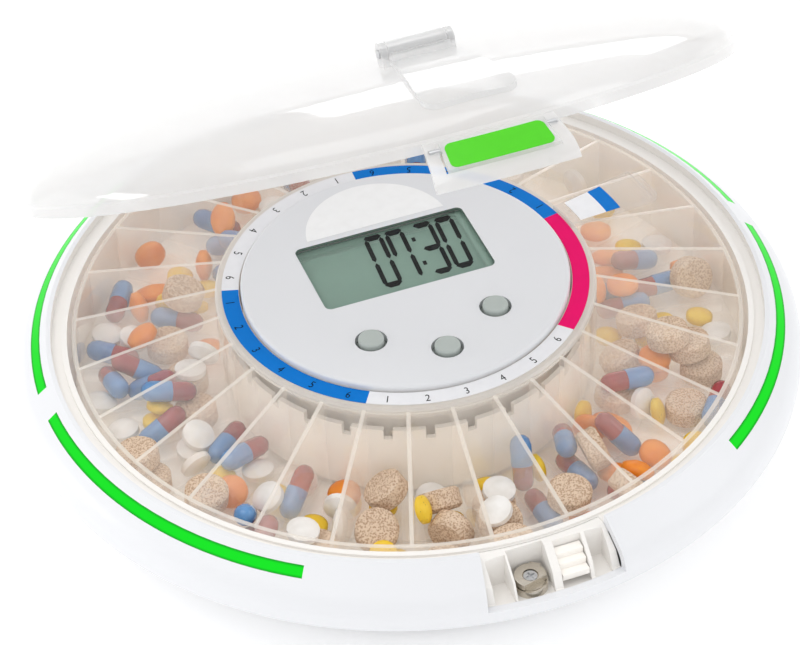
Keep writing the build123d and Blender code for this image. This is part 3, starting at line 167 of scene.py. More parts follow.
def drift(tree: NodeTree, value: float, size_mm: float, low: float, high: float) -> Node:
    """Let a value drift from patch to patch, as polish and milkiness do.

    Args:
        tree: The tree to add to.
        value: The nominal value.
        size_mm: Size of the patches.
        low: The least share of the value.
        high: The greatest share of the value.

    Returns:
        The drifting value's node.
    """
    return add(tree, "ShaderNodeMapRange", Value=mottle(tree, size_mm), To_Min=value * low,
               To_Max=value * high)


def relief(tree: NodeTree, size_mm: float, depth_mm: float, detail: float = 2.0) -> Node:
    """Return the normal of a slightly uneven surface.

    Args:
        tree: The tree to add to.
        size_mm: Size of its hills.
        depth_mm: Their height.
        detail: Octaves of finer hills.

    Returns:
        The normal's node.
    """
    return add(tree, "ShaderNodeBump", Distance=depth_mm * MM, Height=mottle(tree, size_mm, detail))


def two_tone(tree: NodeTree, size_mm: float, *stops: tuple[float, Colour]) -> Node:
    """Cloud one colour with another.

    Args:
        tree: The tree to add to.
        size_mm: Size of the clouds.
        stops: Where in the pattern each colour is full, and the colour.

    Returns:
        The colour's node.
    """
    return add(tree, "ShaderNodeValToRGB", {"stops": stops}, Fac=mottle(tree, size_mm))


def radius_mm(tree: NodeTree) -> Socket:
    """Return the distance from the Z axis in millimetres."""
    spot = add(tree, "ShaderNodeTexCoord").outputs["Object"]
    flat = add(tree, "ShaderNodeVectorMath", {"operation": "MULTIPLY"}, i0=spot, i1=(1000, 1000, 0))
    return add(tree, "ShaderNodeVectorMath", {"operation": "LENGTH"}, i0=flat).outputs["Value"]


# ------------------------------------------------------------------ finishes
@dataclass(frozen=True)
class Finish:
    """A finish: its material's name and main colour. Each kind of finish adds its own shader."""

    name: str
    colour: str

    def shader(self, tree: NodeTree) -> Node:
        """Build the shader and return its last node."""
        raise NotImplementedError(self.name)

    def build(self) -> Material:
        """Make the material."""
        material = bpy.data.materials.new(self.name)
        material.use_nodes = True
        material.node_tree.nodes.clear()
        add(material.node_tree, "ShaderNodeOutputMaterial", Surface=self.shader(material.node_tree))
        return material


@dataclass(frozen=True)
class MouldedPlastic(Finish):
    """Injection-moulded plastic or rubber: even colour, a faint orange peel and uneven sheen."""

    rough: float = 0.32
    peel_mm: float = 1.6
    peel_depth_mm: float = 0.012
    ior: float = 1.53
    sheen_mm: float = 18.0

    def shader(self, tree: NodeTree) -> Node:
        """Build the shader."""
        return add(tree, "ShaderNodeBsdfPrincipled", Base_Color=linear(self.colour), IOR=self.ior,
                   Roughness=drift(tree, self.rough, self.sheen_mm, 0.85, 1.2),
                   Normal=relief(tree, self.peel_mm, self.peel_depth_mm))


@dataclass(frozen=True)
class ClearPlastic(Finish):
    """Clear moulded styrene or polycarbonate: see-through, a milky cast and glossy faces.

    The body lets light straight through with a tint, the faces reflect by Fresnel, and a weak
    glow, painted light since the plastic is no lamp, stands for the light that scatters many
    times inside milky styrene.
    """

    rim_tint: str
    haze: str
    haze_share: float
    rough: float = 0.05
    gloss: Flat = (0.04, 0.8)
    glow: float = 0.0
    chalk_share: float = 0.35
    haze_mm: float = 40.0
    flow_mm: float = 9.0
    flow_depth_mm: float = 0.05
    rim_power: float = 2.5
    gloss_power: float = 5.0

    def shader(self, tree: NodeTree) -> Node:
        """Build the shader: the tinted body, its milky cloud and the polished face."""
        facing = add(tree, "ShaderNodeLayerWeight", Blend=0.5).outputs["Facing"]
        rim = add(tree, "ShaderNodeMath", {"operation": "POWER"}, i0=facing, i1=self.rim_power)
        stops = ((0.05, linear(self.colour)), (0.9, linear(self.rim_tint)))
        tint = add(tree, "ShaderNodeValToRGB", {"stops": stops}, Fac=rim)
        through = add(tree, "ShaderNodeBsdfTransparent", Color=tint)
        milk = add(tree, "ShaderNodeBsdfTranslucent", Color=linear(self.haze))
        chalk = add(tree, "ShaderNodeBsdfDiffuse", Color=linear(self.haze))
        cloud = add(tree, "ShaderNodeMixShader", Fac=self.chalk_share, i1=milk, i2=chalk)
        # painted light: an emission glow added to the milky cloud, though the plastic is no lamp
        if self.glow:
            deep = add(tree, "ShaderNodeEmission", Color=linear(self.rim_tint), Strength=self.glow)
            cloud = add(tree, "ShaderNodeAddShader", i0=cloud, i1=deep)
        share = drift(tree, self.haze_share, self.haze_mm, 0.96, 1.04)
        body = add(tree, "ShaderNodeMixShader", Fac=share, i1=through, i2=cloud)
        edge_on = add(tree, "ShaderNodeMath", {"operation": "POWER"}, i0=facing, i1=self.gloss_power)
        gleam = add(tree, "ShaderNodeMapRange", Value=edge_on, To_Min=self.gloss[0], To_Max=self.gloss[1])
        polish = add(tree, "ShaderNodeBsdfAnisotropic", Color=(1, 1, 1, 1), Roughness=self.rough,
                     Normal=relief(tree, self.flow_mm, self.flow_depth_mm))
        return add(tree, "ShaderNodeMixShader", Fac=gleam, i1=body, i2=polish)


@dataclass(frozen=True)
class LightGuide(Finish):
    """A lit acrylic light guide: a bright core that darkens to a deep green at its sides."""

    side: str
    middle_mm: float
    half_mm: float
    strength: float = 1.0
    patch_mm: float = 25.0

    def shader(self, tree: NodeTree) -> Node:
        """Build the shader, which glows less with the distance from the guide's middle line."""
        across = add(tree, "ShaderNodeMath", {"operation": "SUBTRACT"}, i0=radius_mm(tree), i1=self.middle_mm)
        away = add(tree, "ShaderNodeMath", {"operation": "ABSOLUTE"}, i0=across)
        share = add(tree, "ShaderNodeMath", {"operation": "DIVIDE"}, i0=away, i1=self.half_mm)
        stops = ((0.55, linear(self.colour)), (0.95, linear(self.side)))
        colour = add(tree, "ShaderNodeValToRGB", {"stops": stops}, Fac=share)
        return add(tree, "ShaderNodeBsdfPrincipled", Base_Color=linear(self.side), Roughness=0.3,
                   Specular_IOR_Level=0.1, Emission_Color=colour,
                   Emission_Strength=drift(tree, self.strength, self.patch_mm, 0.92, 1.08))


@dataclass(frozen=True)
class PrintedFilm(Finish):
    """A printed polyester label: flat ink under a satin film.

    Its band, if it has one, is a radius in millimetres and the ink beyond it.
    """

    rough: float = 0.4
    gleam: float = 0.2
    band: tuple[float, str] | None = None
    ink_mm: float = 3.0
    film_mm: float = 0.8

    def shader(self, tree: NodeTree) -> Node:
        """Build the shader."""
        base = linear(self.colour)
        thin = tuple(channel * 0.97 for channel in base[:3]) + (1.0,)
        ink: Node | Socket = two_tone(tree, self.ink_mm, (0.3, thin), (0.6, base))
        if self.band:
            out = add(tree, "ShaderNodeMath", {"operation": "GREATER_THAN"}, i0=radius_mm(tree),
                      i1=self.band[0])
            ink = add(tree, "ShaderNodeMix", {"data_type": "RGBA"}, i0=out, i6=ink,
                      i7=linear(self.band[1])).outputs[2]
        return add(tree, "ShaderNodeBsdfPrincipled", Base_Color=ink, Specular_IOR_Level=self.gleam,
                   Roughness=drift(tree, self.rough, self.film_mm, 0.9, 1.1))


@dataclass(frozen=True)
class PlatedMetal(Finish):
    """Machined or plated metal: turning marks, drawn coarser than real ones to show, and uneven polish."""

    rough: float = 0.22
    mark_mm: float = 0.35
    mark_depth_mm: float = 0.01
    patch_mm: float = 2.5

    def shader(self, tree: NodeTree) -> Node:
        """Build the shader."""
        return add(tree, "ShaderNodeBsdfPrincipled", Base_Color=linear(self.colour), Metallic=1.0,
                   Roughness=drift(tree, self.rough, self.patch_mm, 0.7, 1.4),
                   Normal=relief(tree, self.mark_mm, self.mark_depth_mm, 3.0))


@dataclass(frozen=True)
class PressedPowder(Finish):
    """An uncoated compressed tablet: chalky, with darker specks of the active grain."""

    speck: str
    speck_mm: float = 0.55
    speck_share: float = 0.4
    pit_depth_mm: float = 0.12

    def shader(self, tree: NodeTree) -> Node:
        """Build the shader: specks where a grain's heart meets a thin patch."""
        patch_mm, low = self.speck_mm * 1.4, self.speck_share * 0.35
        shade = add(tree, "ShaderNodeMath", {"operation": "MULTIPLY"}, i0=grains(tree, self.speck_mm),
                    i1=mottle(tree, patch_mm, 3.0))
        stops = ((low, linear(self.speck)), (low + 0.16, linear(self.colour)))
        colour = add(tree, "ShaderNodeValToRGB", {"stops": stops}, Fac=shade)
        return add(tree, "ShaderNodeBsdfPrincipled", Base_Color=colour, Roughness=0.85,
                   Normal=relief(tree, patch_mm, self.pit_depth_mm, 3.0))


@dataclass(frozen=True)
class SugarCoat(Finish):
    """A film-coated tablet: smooth, satin, with small colour drifts in the coat."""

    shade: str
    speck: str
    specks: bool = False
    speck_gap_mm: float = 1.3
    speck_share: float = 0.13

    def shader(self, tree: NodeTree) -> Node:
        """Build the shader."""
        coat: Node | Socket = two_tone(tree, 5.0, (0.35, linear(self.shade)), (0.65, linear(self.colour)))
        if self.specks:
            mask = add(tree, "ShaderNodeMath", {"operation": "LESS_THAN"}, i0=grains(tree, self.speck_gap_mm),
                       i1=self.speck_share)
            coat = add(tree, "ShaderNodeMix", {"data_type": "RGBA"}, i0=mask, i6=coat,
                       i7=linear(self.speck)).outputs[2]
        return add(tree, "ShaderNodeBsdfPrincipled", Base_Color=coat,
                   Roughness=drift(tree, 0.3, 2.0, 1.0, 1.5), Normal=relief(tree, 0.7, 0.02))


@dataclass(frozen=True)
class Gelatin(Finish):
    """A hard gelatin capsule shell: deep colour under a wet gloss."""

    shade: str

    def shader(self, tree: NodeTree) -> Node:
        """Build the shader."""
        colour = two_tone(tree, 6.0, (0.3, linear(self.shade)), (0.7, linear(self.colour)))
        return add(tree, "ShaderNodeBsdfPrincipled", Base_Color=colour, Roughness=0.2, Coat_Weight=0.5,
                   Coat_Roughness=0.08, Normal=relief(tree, 4.0, 0.05))


@dataclass(frozen=True)
class LitPaper(Finish):
    """Pale paper on a light table: white, with only a faint shadow left under the object."""

    glow: float

    def shader(self, tree: NodeTree) -> Node:
        """Build the shader."""
        paper = add(tree, "ShaderNodeBsdfDiffuse", Color=linear(self.colour), Roughness=0.6)
        lit = add(tree, "ShaderNodeEmission", Color=(1, 1, 1, 1), Strength=self.glow)
        return add(tree, "ShaderNodeAddShader", i0=paper, i1=lit)


class Shade(Enum):
    """The finishes of the dispenser, of the pills in it and of the floor."""

    # Moulded housings: cool white with a soft sheen outside, warmer and flatter inside.
    SHELL = MouldedPlastic("gloss moulded ABS", "#E4E5E8", rough=0.36)
    # INNER is the inside's own colour; on the shell's seat it is painted light, a lighter white that lifts the
    # seat's shade.
    INNER = MouldedPlastic("satin moulded ABS", "#F1EEEA", rough=0.45)
    # painted shade: a dark green-grey standing in for the shadow on the display window's walls
    MASK = MouldedPlastic("green-grey painted window shade", "#66796F", rough=0.5)
    DECK = MouldedPlastic("unpolished moulded ABS", "#FDF8F2", rough=0.5)
    ACETAL = MouldedPlastic("moulded acetal", "#FBF7F1", rough=0.4)
    # Keys and technical pieces: silicone is matt and finely grained, rubber darker and duller.
    BUTTON = MouldedPlastic("moulded silicone key", "#B4BCB8", rough=0.5, peel_mm=0.8)
    BLACK = MouldedPlastic("black moulded nylon", "#161617", rough=0.5)
    BOARD = MouldedPlastic("green solder mask", "#12502B", rough=0.35)
    RUBBER = MouldedPlastic("moulded rubber", "#232324", rough=0.75, peel_mm=0.7, peel_depth_mm=0.05)
    WRAP = MouldedPlastic("shrink-wrapped cell", "#24252A", rough=0.3)
    # Clear mouldings: styrene shows milky walls with a painted glow and up-facing tops with a painted
    # highlight, the lid a smooth white veil.
    # The tray's glow is painted light that brightens its milky walls and floor.
    TRAY = ClearPlastic("clear moulded styrene", "#FFFFFF", "#FEFBF7", "#FFFAF3", 0.1, glow=0.28)
    # painted highlight: the tray's up-facing tops get a whiter haze and a glow where light from above falls on
    # them
    TRAY_EDGE = ClearPlastic("styrene tops with painted highlight", "#FFFEFC", "#FCF8F2", "#FFFDF8", 0.6,
                             rough=0.12, glow=0.12)
    RIM = ClearPlastic("frosted moulded styrene", "#FEFDFC", "#FBF9F6", "#FFFDFA", 0.8, rough=0.15)
    LID = ClearPlastic("clear moulded polycarbonate", "#FFFFFF", "#FCFCFC", "#EFEFEF", 0.63, rough=0.04,
                       gloss=(0.05, 0.6))
    GUIDE = ClearPlastic("polished polycarbonate", "#FEFEFE", "#E4E7E9", "#FAFAFA", 0.1, rough=0.03)
    LENS = ClearPlastic("clear cast acrylic", "#FDFEFE", "#F4F8F6", "#E8EEEA", 0.01, gloss=(0.02, 0.5))
    # The lit guides glow evenly, and their sides stay deep green.
    GREEN_LIGHT = LightGuide("lit acrylic light guide", "#06DC14", "#087818", 108.575, 1.375, 0.8)
    # Printed films: flat, clean inks; the domed label has a resin's strong highlights.
    BLUE = PrintedFilm("blue printed film", "#0078D2", gleam=0.1)
    WHITE = PrintedFilm("white printed film", "#EEEEF1")
    BARE = PrintedFilm("bare vinyl film", "#FAFAFA")
    MAGENTA = PrintedFilm("magenta printed film", "#F0006C", gleam=0.1)
    GREEN = PrintedFilm("domed green label", "#48C800", rough=0.2, gleam=0.5)
    TAB_FILM = PrintedFilm("white and blue printed film", "#F6F6F9", gleam=0.1, band=(65.4, "#0078D2"))
    INK = PrintedFilm("black printing ink", "#0C0E0F", rough=0.5, gleam=0.05)
    LCD = PrintedFilm("liquid crystal glass", "#9CB7A9", rough=0.18, gleam=0.3)
    # Metals: nickel is warm and bright, steel cooler, the motor's can dull.
    NICKEL = PlatedMetal("plated nickel", "#CFC8BC")
    STEEL = PlatedMetal("turned steel", "#C9CACC", rough=0.28)
    CAN = PlatedMetal("drawn steel can", "#B9BABC", rough=0.35)
    # Pills: satin coats, chalky pressed powder and wet-looking gelatin.
    ORANGE = SugarCoat("orange film coat", "#F59324", "#EE8418", "#B85F10")
    YELLOW = SugarCoat("yellow film coat", "#F8D23A", "#F0C428", "#A8861C", specks=True)
    CHALK = SugarCoat("white film coat", "#F6F4F2", "#E9E6E2", "#D8D4CE")
    BEIGE = PressedPowder("pressed beige powder", "#E0CAB3", "#B8987E")
    GEL_BLUE = Gelatin("blue gelatin", "#5E95CB", "#4A7FB8")
    GEL_RED = Gelatin("red gelatin", "#A3182B", "#7E0F24")
    # The floor burns out to white around the object.
    FLOOR = LitPaper("pale studio floor", "#FAFAFA", 0.2)

    @property
    def material(self) -> Material:
        """The finish's material, made when first asked for."""
        return bpy.data.materials.get(self.value.name) or self.value.build()


# ------------------------------------------------------------------ modelling helpers
def deselect() -> None:
    """Deselect every object, so that the next operator acts on new work alone."""
    if bpy.context.object and bpy.context.object.mode != "OBJECT":
        bpy.ops.object.mode_set(mode="OBJECT")
    bpy.ops.object.select_all(action="DESELECT")


def activate(obj: Object) -> Object:
    """Make an object the only selected one and the active one."""
    deselect()
    obj.select_set(True)
    bpy.context.view_layer.objects.active = obj
    return obj


def edit(obj: Object, *steps: Callable[[], object]) -> Object:
    """Run operators on an object in edit mode, all of it selected first.

    Args:
        obj: The object to edit.
        steps: The operators to run, in order.

    Returns:
        The object.
    """
    activate(obj)
    bpy.ops.object.mode_set(mode="EDIT")
    bpy.ops.mesh.select_mode(type="VERT")
    bpy.ops.mesh.select_all(action="SELECT")
    for step in steps:
        step()
    bpy.ops.object.mode_set(mode="OBJECT")
    return obj


def modify(obj: Object, kind: str, **settings: object) -> Object:
    """Add a modifier and apply it.

    Args:
        obj: The object.
        kind: The modifier's type.
        settings: Its settings.

    Returns:
        The object.
    """
    activate(obj)
    modifier = obj.modifiers.new(kind.title(), kind)
    for name, value in settings.items():
        setattr(modifier, name, value)
    bpy.ops.object.modifier_apply(modifier=modifier.name)
    return obj


def smooth(obj: Object, angle: float) -> Object:
    """Shade an object smooth, with sharp edges over an angle in degrees."""
    activate(obj)
    bpy.ops.object.shade_smooth_by_angle(angle=math.radians(angle))
    return obj


def paint(obj: Object, *shades: Shade) -> Object:
    """Give an object its materials, in slot order."""
    obj.data.materials.clear()
    for shade in shades:
        obj.data.materials.append(shade.material)
    return obj


def place(obj: Object, matrix: Matrix) -> Object:
    """Move an object's mesh, so that the object itself stays at the origin."""
    obj.data.transform(matrix)
    if matrix.determinant() < 0:
        obj.data.flip_normals()
    obj.data.update()
    return obj


def twin(obj: Object, name: str, matrix: Matrix | None = None) -> Object:
    """Copy an object with its own mesh.

    Args:
        obj: The object to copy.
        name: The copy's name.
        matrix: Where its mesh goes.

    Returns:
        The copy.
    """
    copy = bpy.data.objects.new(name, obj.data.copy())
    bpy.context.scene.collection.objects.link(copy)
    return place(copy, matrix) if matrix is not None else copy


def join(name: str, parts: Sequence[Object]) -> Object:
    """Join objects into one.

    Args:
        name: The joined object's name.
        parts: The objects, the first of which keeps its materials' order.

    Returns:
        The joined object.
    """
    deselect()
    for part in parts:
        part.select_set(True)
    bpy.context.view_layer.objects.active = parts[0]
    bpy.ops.object.join()
    parts[0].name = name
    parts[0].data.name = name
    return parts[0]


def fit(obj: Object, body: str, nodes: Iterable[str] = ()) -> Object:
    """Hang a finished piece on its body and say which CAD nodes it stands for.

    Args:
        obj: The piece.
        body: The CAD body that it rides on.
        nodes: The CAD nodes that it replaces.

    Returns:
        The piece.
    """
    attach(obj, body)
    nodes = tuple(nodes)
    if nodes:
        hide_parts(*nodes)
    LOG.info("%s rides on %s, stands for %s", obj.name, body, ", ".join(nodes) or "nothing")
    return obj


def trace(name: str, points: Sequence[Point]) -> Object:
    """Draw a chain of edges by extruding one vertex from point to point.

    Args:
        name: The new object's name.
        points: The chain's points in millimetres.

    Returns:
        The new object.
    """
    deselect()
    start = Vector(points[0]) * MM
    bpy.ops.mesh.primitive_plane_add(size=MM, location=(0, 0, 0))
    obj = bpy.context.object
    obj.name = name
    obj.data.name = name
    bpy.ops.object.mode_set(mode="EDIT")
    bpy.ops.mesh.select_mode(type="VERT")
    bpy.ops.mesh.select_all(action="SELECT")
    bpy.ops.mesh.merge(type="CENTER")
    bpy.ops.transform.translate(value=start)
    last = start
    for point in points[1:]:
        here = Vector(point) * MM
        bpy.ops.mesh.extrude_vertices_move(TRANSFORM_OT_translate={"value": here - last})
        last = here
    bpy.ops.object.mode_set(mode="OBJECT")
    return obj


def lathed(name: str, profile: Sequence[Flat], steps: int, closed: bool = True) -> Object:
    """Spin a profile about the Z axis into a solid.

    Args:
        name: The new object's name.
        profile: Radius and height of each point, in millimetres.
        steps: Faces round the turn.
        closed: Whether the profile's last point joins its first, as on a ring.

    Returns:
        The new object.
    """
    ring = [(radius, 0.0, height) for radius, height in profile]
    obj = trace(name, ring + ring[:1] if closed else ring)
    return edit(obj,
                lambda: bpy.ops.mesh.remove_doubles(threshold=WELD),
                lambda: bpy.ops.mesh.spin(steps=steps, angle=2 * math.pi, center=(0, 0, 0), axis=(0, 0, 1)),
                lambda: bpy.ops.mesh.select_all(action="SELECT"),
                lambda: bpy.ops.mesh.remove_doubles(threshold=SPIN_WELD),
                lambda: bpy.ops.mesh.normals_make_consistent(inside=False))


def prism(name: str, outline: Sequence[Point], depth: Point) -> Object:
    """Fill a flat outline and extrude it into a solid.

    Args:
        name: The new object's name.
        outline: The outline's points in millimetres.
        depth: The extrusion in millimetres.

    Returns:
        The new object.
    """
    obj = trace(name, list(outline) + [outline[0]])
    return edit(obj,
                lambda: bpy.ops.mesh.remove_doubles(threshold=WELD),
                lambda: bpy.ops.mesh.edge_face_add(),
                lambda: bpy.ops.mesh.extrude_region_move(
                    TRANSFORM_OT_translate={"value": Vector(depth) * MM}),
                lambda: bpy.ops.mesh.select_all(action="SELECT"),
                lambda: bpy.ops.mesh.normals_make_consistent(inside=False))


def orderly(obj: Object) -> Object:
    """Give a mesh's faces one fixed order, which a simulation needs to end the same each run.

    Merging doubles and turning faces leave them in an order that differs from run to run.
    """
    mesh = obj.data
    points = [vertex.co.copy() for vertex in mesh.vertices]
    loops = [tuple(face.vertices) for face in mesh.polygons]
    starts = [loop.index(min(loop)) for loop in loops]
    faces = sorted(loop[start:] + loop[:start] for loop, start in zip(loops, starts))
    mesh.clear_geometry()
    mesh.from_pydata(points, [], faces)
    mesh.update()
    return obj


def polar(radius: float, degrees: float, height: float) -> Point:
    """Return a point from its radius and angle about the Z axis."""
    turn = math.radians(degrees)
    return radius * math.cos(turn), radius * math.sin(turn), height


def arc(centre: Flat, radius: float, start: float, end: float, count: int) -> list[Flat]:
    """Return points along an arc.

    Args:
        centre: The arc's centre.
        radius: Its radius.
        start: Its first angle in degrees.
        end: Its last angle in degrees.
        count: How many points.

    Returns:
        The points, in order.
    """
    turns = [math.radians(start + (end - start) * n / (count - 1)) for n in range(count)]
    return [(centre[0] + radius * math.cos(turn), centre[1] + radius * math.sin(turn)) for turn in turns]


def turned(degrees: float) -> Matrix:
    """Return a turn about the Z axis."""
    return Matrix.Rotation(math.radians(degrees), 4, "Z")


# ------------------------------------------------------------------ the pieces
# Plain nodes keep their own mesh. A refined one is replaced by a piece of its own: the node, the
# piece's name, its finish, its body and its material slot.
PLAIN_NODES = {
    Shade.INNER: ("battery_door", "battery_box", "display_frame"),
    Shade.RUBBER: ("rubber_feet",),
    Shade.STEEL: ("base_screws", "hinge_pin", "pinion_axle", "motor_plate", "motor_shaft", "press_pins",
                  "door_pin"),
    Shade.BOARD: ("light_boards", "main_board"),
    Shade.BLACK: ("switch_set", "buzzer", "tilt_sensor"),
    Shade.WRAP: ("batteries",),
    Shade.NICKEL: ("battery_contacts",),
    Shade.CAN: ("gearmotor",),
    Shade.ACETAL: ("drive_pinion", "motor_gear", "latch_slider"),
    Shade.LCD: ("display_glass",),
}
REFINED_NODES = (
    ("outer_shell", "shell", Shade.SHELL, "base", "white_shell"),
    ("bottom_cover", "belly", Shade.SHELL, "base", "white_shell"),
    ("tray_deck", "deck", Shade.DECK, "base", "white_inner"),
    ("hub_cover", "hub", Shade.SHELL, "base", "white_shell"),
    *((f"light_arc_{side}", f"light_{side}", Shade.GREEN_LIGHT, "base", "light_green")
      for side in ("front_left", "front_right", "back_left", "back_right")),
    ("tray_gear_ring", "tray_gear", Shade.ACETAL, "tray", "acetal"),
    ("dosage_ring", "dose_ring", Shade.RIM, "tray", "clear_tray"),
    ("ring_label_blue", "blue_bands", Shade.BLUE, "tray", "label_blue"),
    ("ring_label_white", "white_bands", Shade.WHITE, "tray", "label_white"),
    ("ring_label_magenta", "magenta_band", Shade.MAGENTA, "tray", "label_magenta"),
    ("ring_tab", "ring_grip", Shade.GUIDE, "tray", "clear_lid"),
    ("ring_tab_label", "ring_grip_label", Shade.TAB_FILM, "tray", "label_white"),
    ("display_lens", "lens", Shade.LENS, "base", "clear_lens"),
    *((f"button_{side}", f"key_{side}", Shade.BUTTON, f"{side}_button", "button_grey")
      for side in ("left", "middle", "right")),
    ("latch_housing", "latch_block", Shade.INNER, "base", "white_inner"),
    ("latch_spring", "latch_coil", Shade.STEEL, "base", "steel"),
    ("lock_barrel", "lock_body", Shade.NICKEL, "base", "nickel"),
    ("lock_plug", "lock_core", Shade.NICKEL, "lock", "nickel"),
    ("lock_cam", "lock_plate", Shade.NICKEL, "lock", "nickel"),
    ("lock_screw", "lock_head", Shade.STEEL, "lock", "steel"),
    ("lid_dome", "dome", Shade.LID, "lid", "clear_lid"),
    ("press_tab", "press_key", Shade.LID, "press", "clear_lid"),
    ("press_label", "press_film", Shade.GREEN, "press", "label_green"),
    ("dispensing_door", "pill_door", Shade.LID, "door", "clear_lid"),
)


@dataclass
class Housing:
    """Every moulded or metal piece whose CAD shape is right: welded, smoothed and dressed.

    The side is the shell's radius and lowest height, the shoulder its top's radius, height and
    fall per millimetre outwards, and the window its half width and its two ends along Y.
    """

    frame: dict
    smooth_angle: float = 22.0
    side: Flat = (115.0, 23.0)
    shoulder: Point = (105.2, 39.1, 0.836)
    shoulder_round: float = 9.0
    near: float = 0.2
    alike: float = 0.985
    seat_radius: float = 104.1
    window: Point = (27.0, -6.6, 23.6)
    upright: float = 0.3
    key_share: float = 0.86
    latch_travel: float = 2.0

    def true_normal(self, spot: Vector) -> Vector | None:
        """Return the exact normal of the shell's turned outer face at a point.

        Args:
            spot: The point in metres.

        Returns:
            The normal, or nothing away from the side, the rounded corner and the shoulder.
        """
        radius, low = self.side
        top_r, top_z, fall = self.shoulder
        turn = math.pi / 2 - math.atan(fall)
        bend_r = radius - self.shoulder_round
        bend_z = top_z - (radius - top_r) * fall - self.shoulder_round * math.tan(turn / 2)
        here, height = math.hypot(spot.x, spot.y) / MM, spot.z / MM
        out, up = here - bend_r, height - bend_z
        tilt = min(max(math.atan2(up, out), 0.0), turn) if out > 0 else turn
        reach = out * math.cos(tilt) + up * math.sin(tilt)
        if abs(reach - self.shoulder_round) > self.near or height < low - self.near:
            return None
        across = Vector((spot.x, spot.y, 0)).normalized() * math.cos(tilt)
        return across + Vector((0, 0, math.sin(tilt)))

    def polish(self, obj: Object) -> None:
        """Give the turned outer face of a piece its exact normals, so that its sheen runs evenly."""
        mesh = obj.data
        normals = [Vector(corner.vector) for corner in mesh.corner_normals]
        for face in mesh.polygons:
            for index in face.loop_indices:
                exact = self.true_normal(mesh.vertices[mesh.loops[index].vertex_index].co)
                if exact is not None and exact.dot(face.normal) > self.alike:
                    normals[index] = exact
        mesh.normals_split_custom_set(normals)

    def build(self) -> None:
        """Dress the plain nodes and refine the others."""
        for shade, nodes in PLAIN_NODES.items():
            for node in nodes:
                paint(self.frame["nodes"][node], shade)
                LOG.info("%s dressed in %s", node, shade.value.name)
        for node, name, shade, body, slot in REFINED_NODES:
            piece = self.welded(node, name)
            if node == "outer_shell" or slot == "light_green":
                self.polish(piece)
            paint(piece, shade)
            if node == "outer_shell":
                # painted light: the lid's seat gets a lighter white against the shade in its groove
                self.second(piece, Shade.INNER, self.in_seat)
            elif node == "hub_cover":
                # painted shade: the display window's upright walls get a dark green-grey for their shadow
                self.second(piece, Shade.MASK, self.in_window)
            elif slot == "button_grey":
                self.slim(piece)
            fit(piece, body, (node,))
            if node == "latch_spring":
                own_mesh(piece)

    def in_seat(self, face: Face) -> bool:
        """Tell whether a face lies inside the lid's seat, painted a lighter white to lift its shade."""
        return face.center.xy.length < self.seat_radius * MM

    def in_window(self, face: Face) -> bool:
        """Tell whether a face is one of the upright walls of the display's window, which get painted shade."""
        wide, low, high = self.window
        spot = face.center / MM
        return abs(face.normal.z) < self.upright and abs(spot.x) < wide and low < spot.y < high

    def slim(self, piece: Object) -> None:
        """Narrow a key about its own axis, so that a dark gap shows round it."""
        middle = sum((v.co for v in piece.data.vertices), Vector()) / len(piece.data.vertices)
        there = Matrix.Translation((middle.x, middle.y, 0))
        place(piece, there @ Matrix.Diagonal((self.key_share, self.key_share, 1, 1)) @ there.inverted())

    @staticmethod
    def second(piece: Object, shade: Shade, wanted: Callable[[Face], bool]) -> None:
        """Give the wanted faces of a piece a second finish.

        Args:
            piece: The piece.
            shade: The second finish.
            wanted: Tells which faces have it.
        """
        piece.data.materials.append(shade.material)
        for face in piece.data.polygons:
            if wanted(face):
                face.material_index = 1

    def welded(self, node: str, name: str) -> Object:
        """Copy a node as one welded surface with smooth shading.

        Args:
            node: The CAD node.
            name: The new piece's name.

        Returns:
            The new piece.
        """
        obj = activate(twin(self.frame["nodes"][node], name))
        bpy.ops.mesh.customdata_custom_splitnormals_clear()
        edit(obj, lambda: bpy.ops.mesh.remove_doubles(threshold=WELD))
        return smooth(obj, self.smooth_angle)


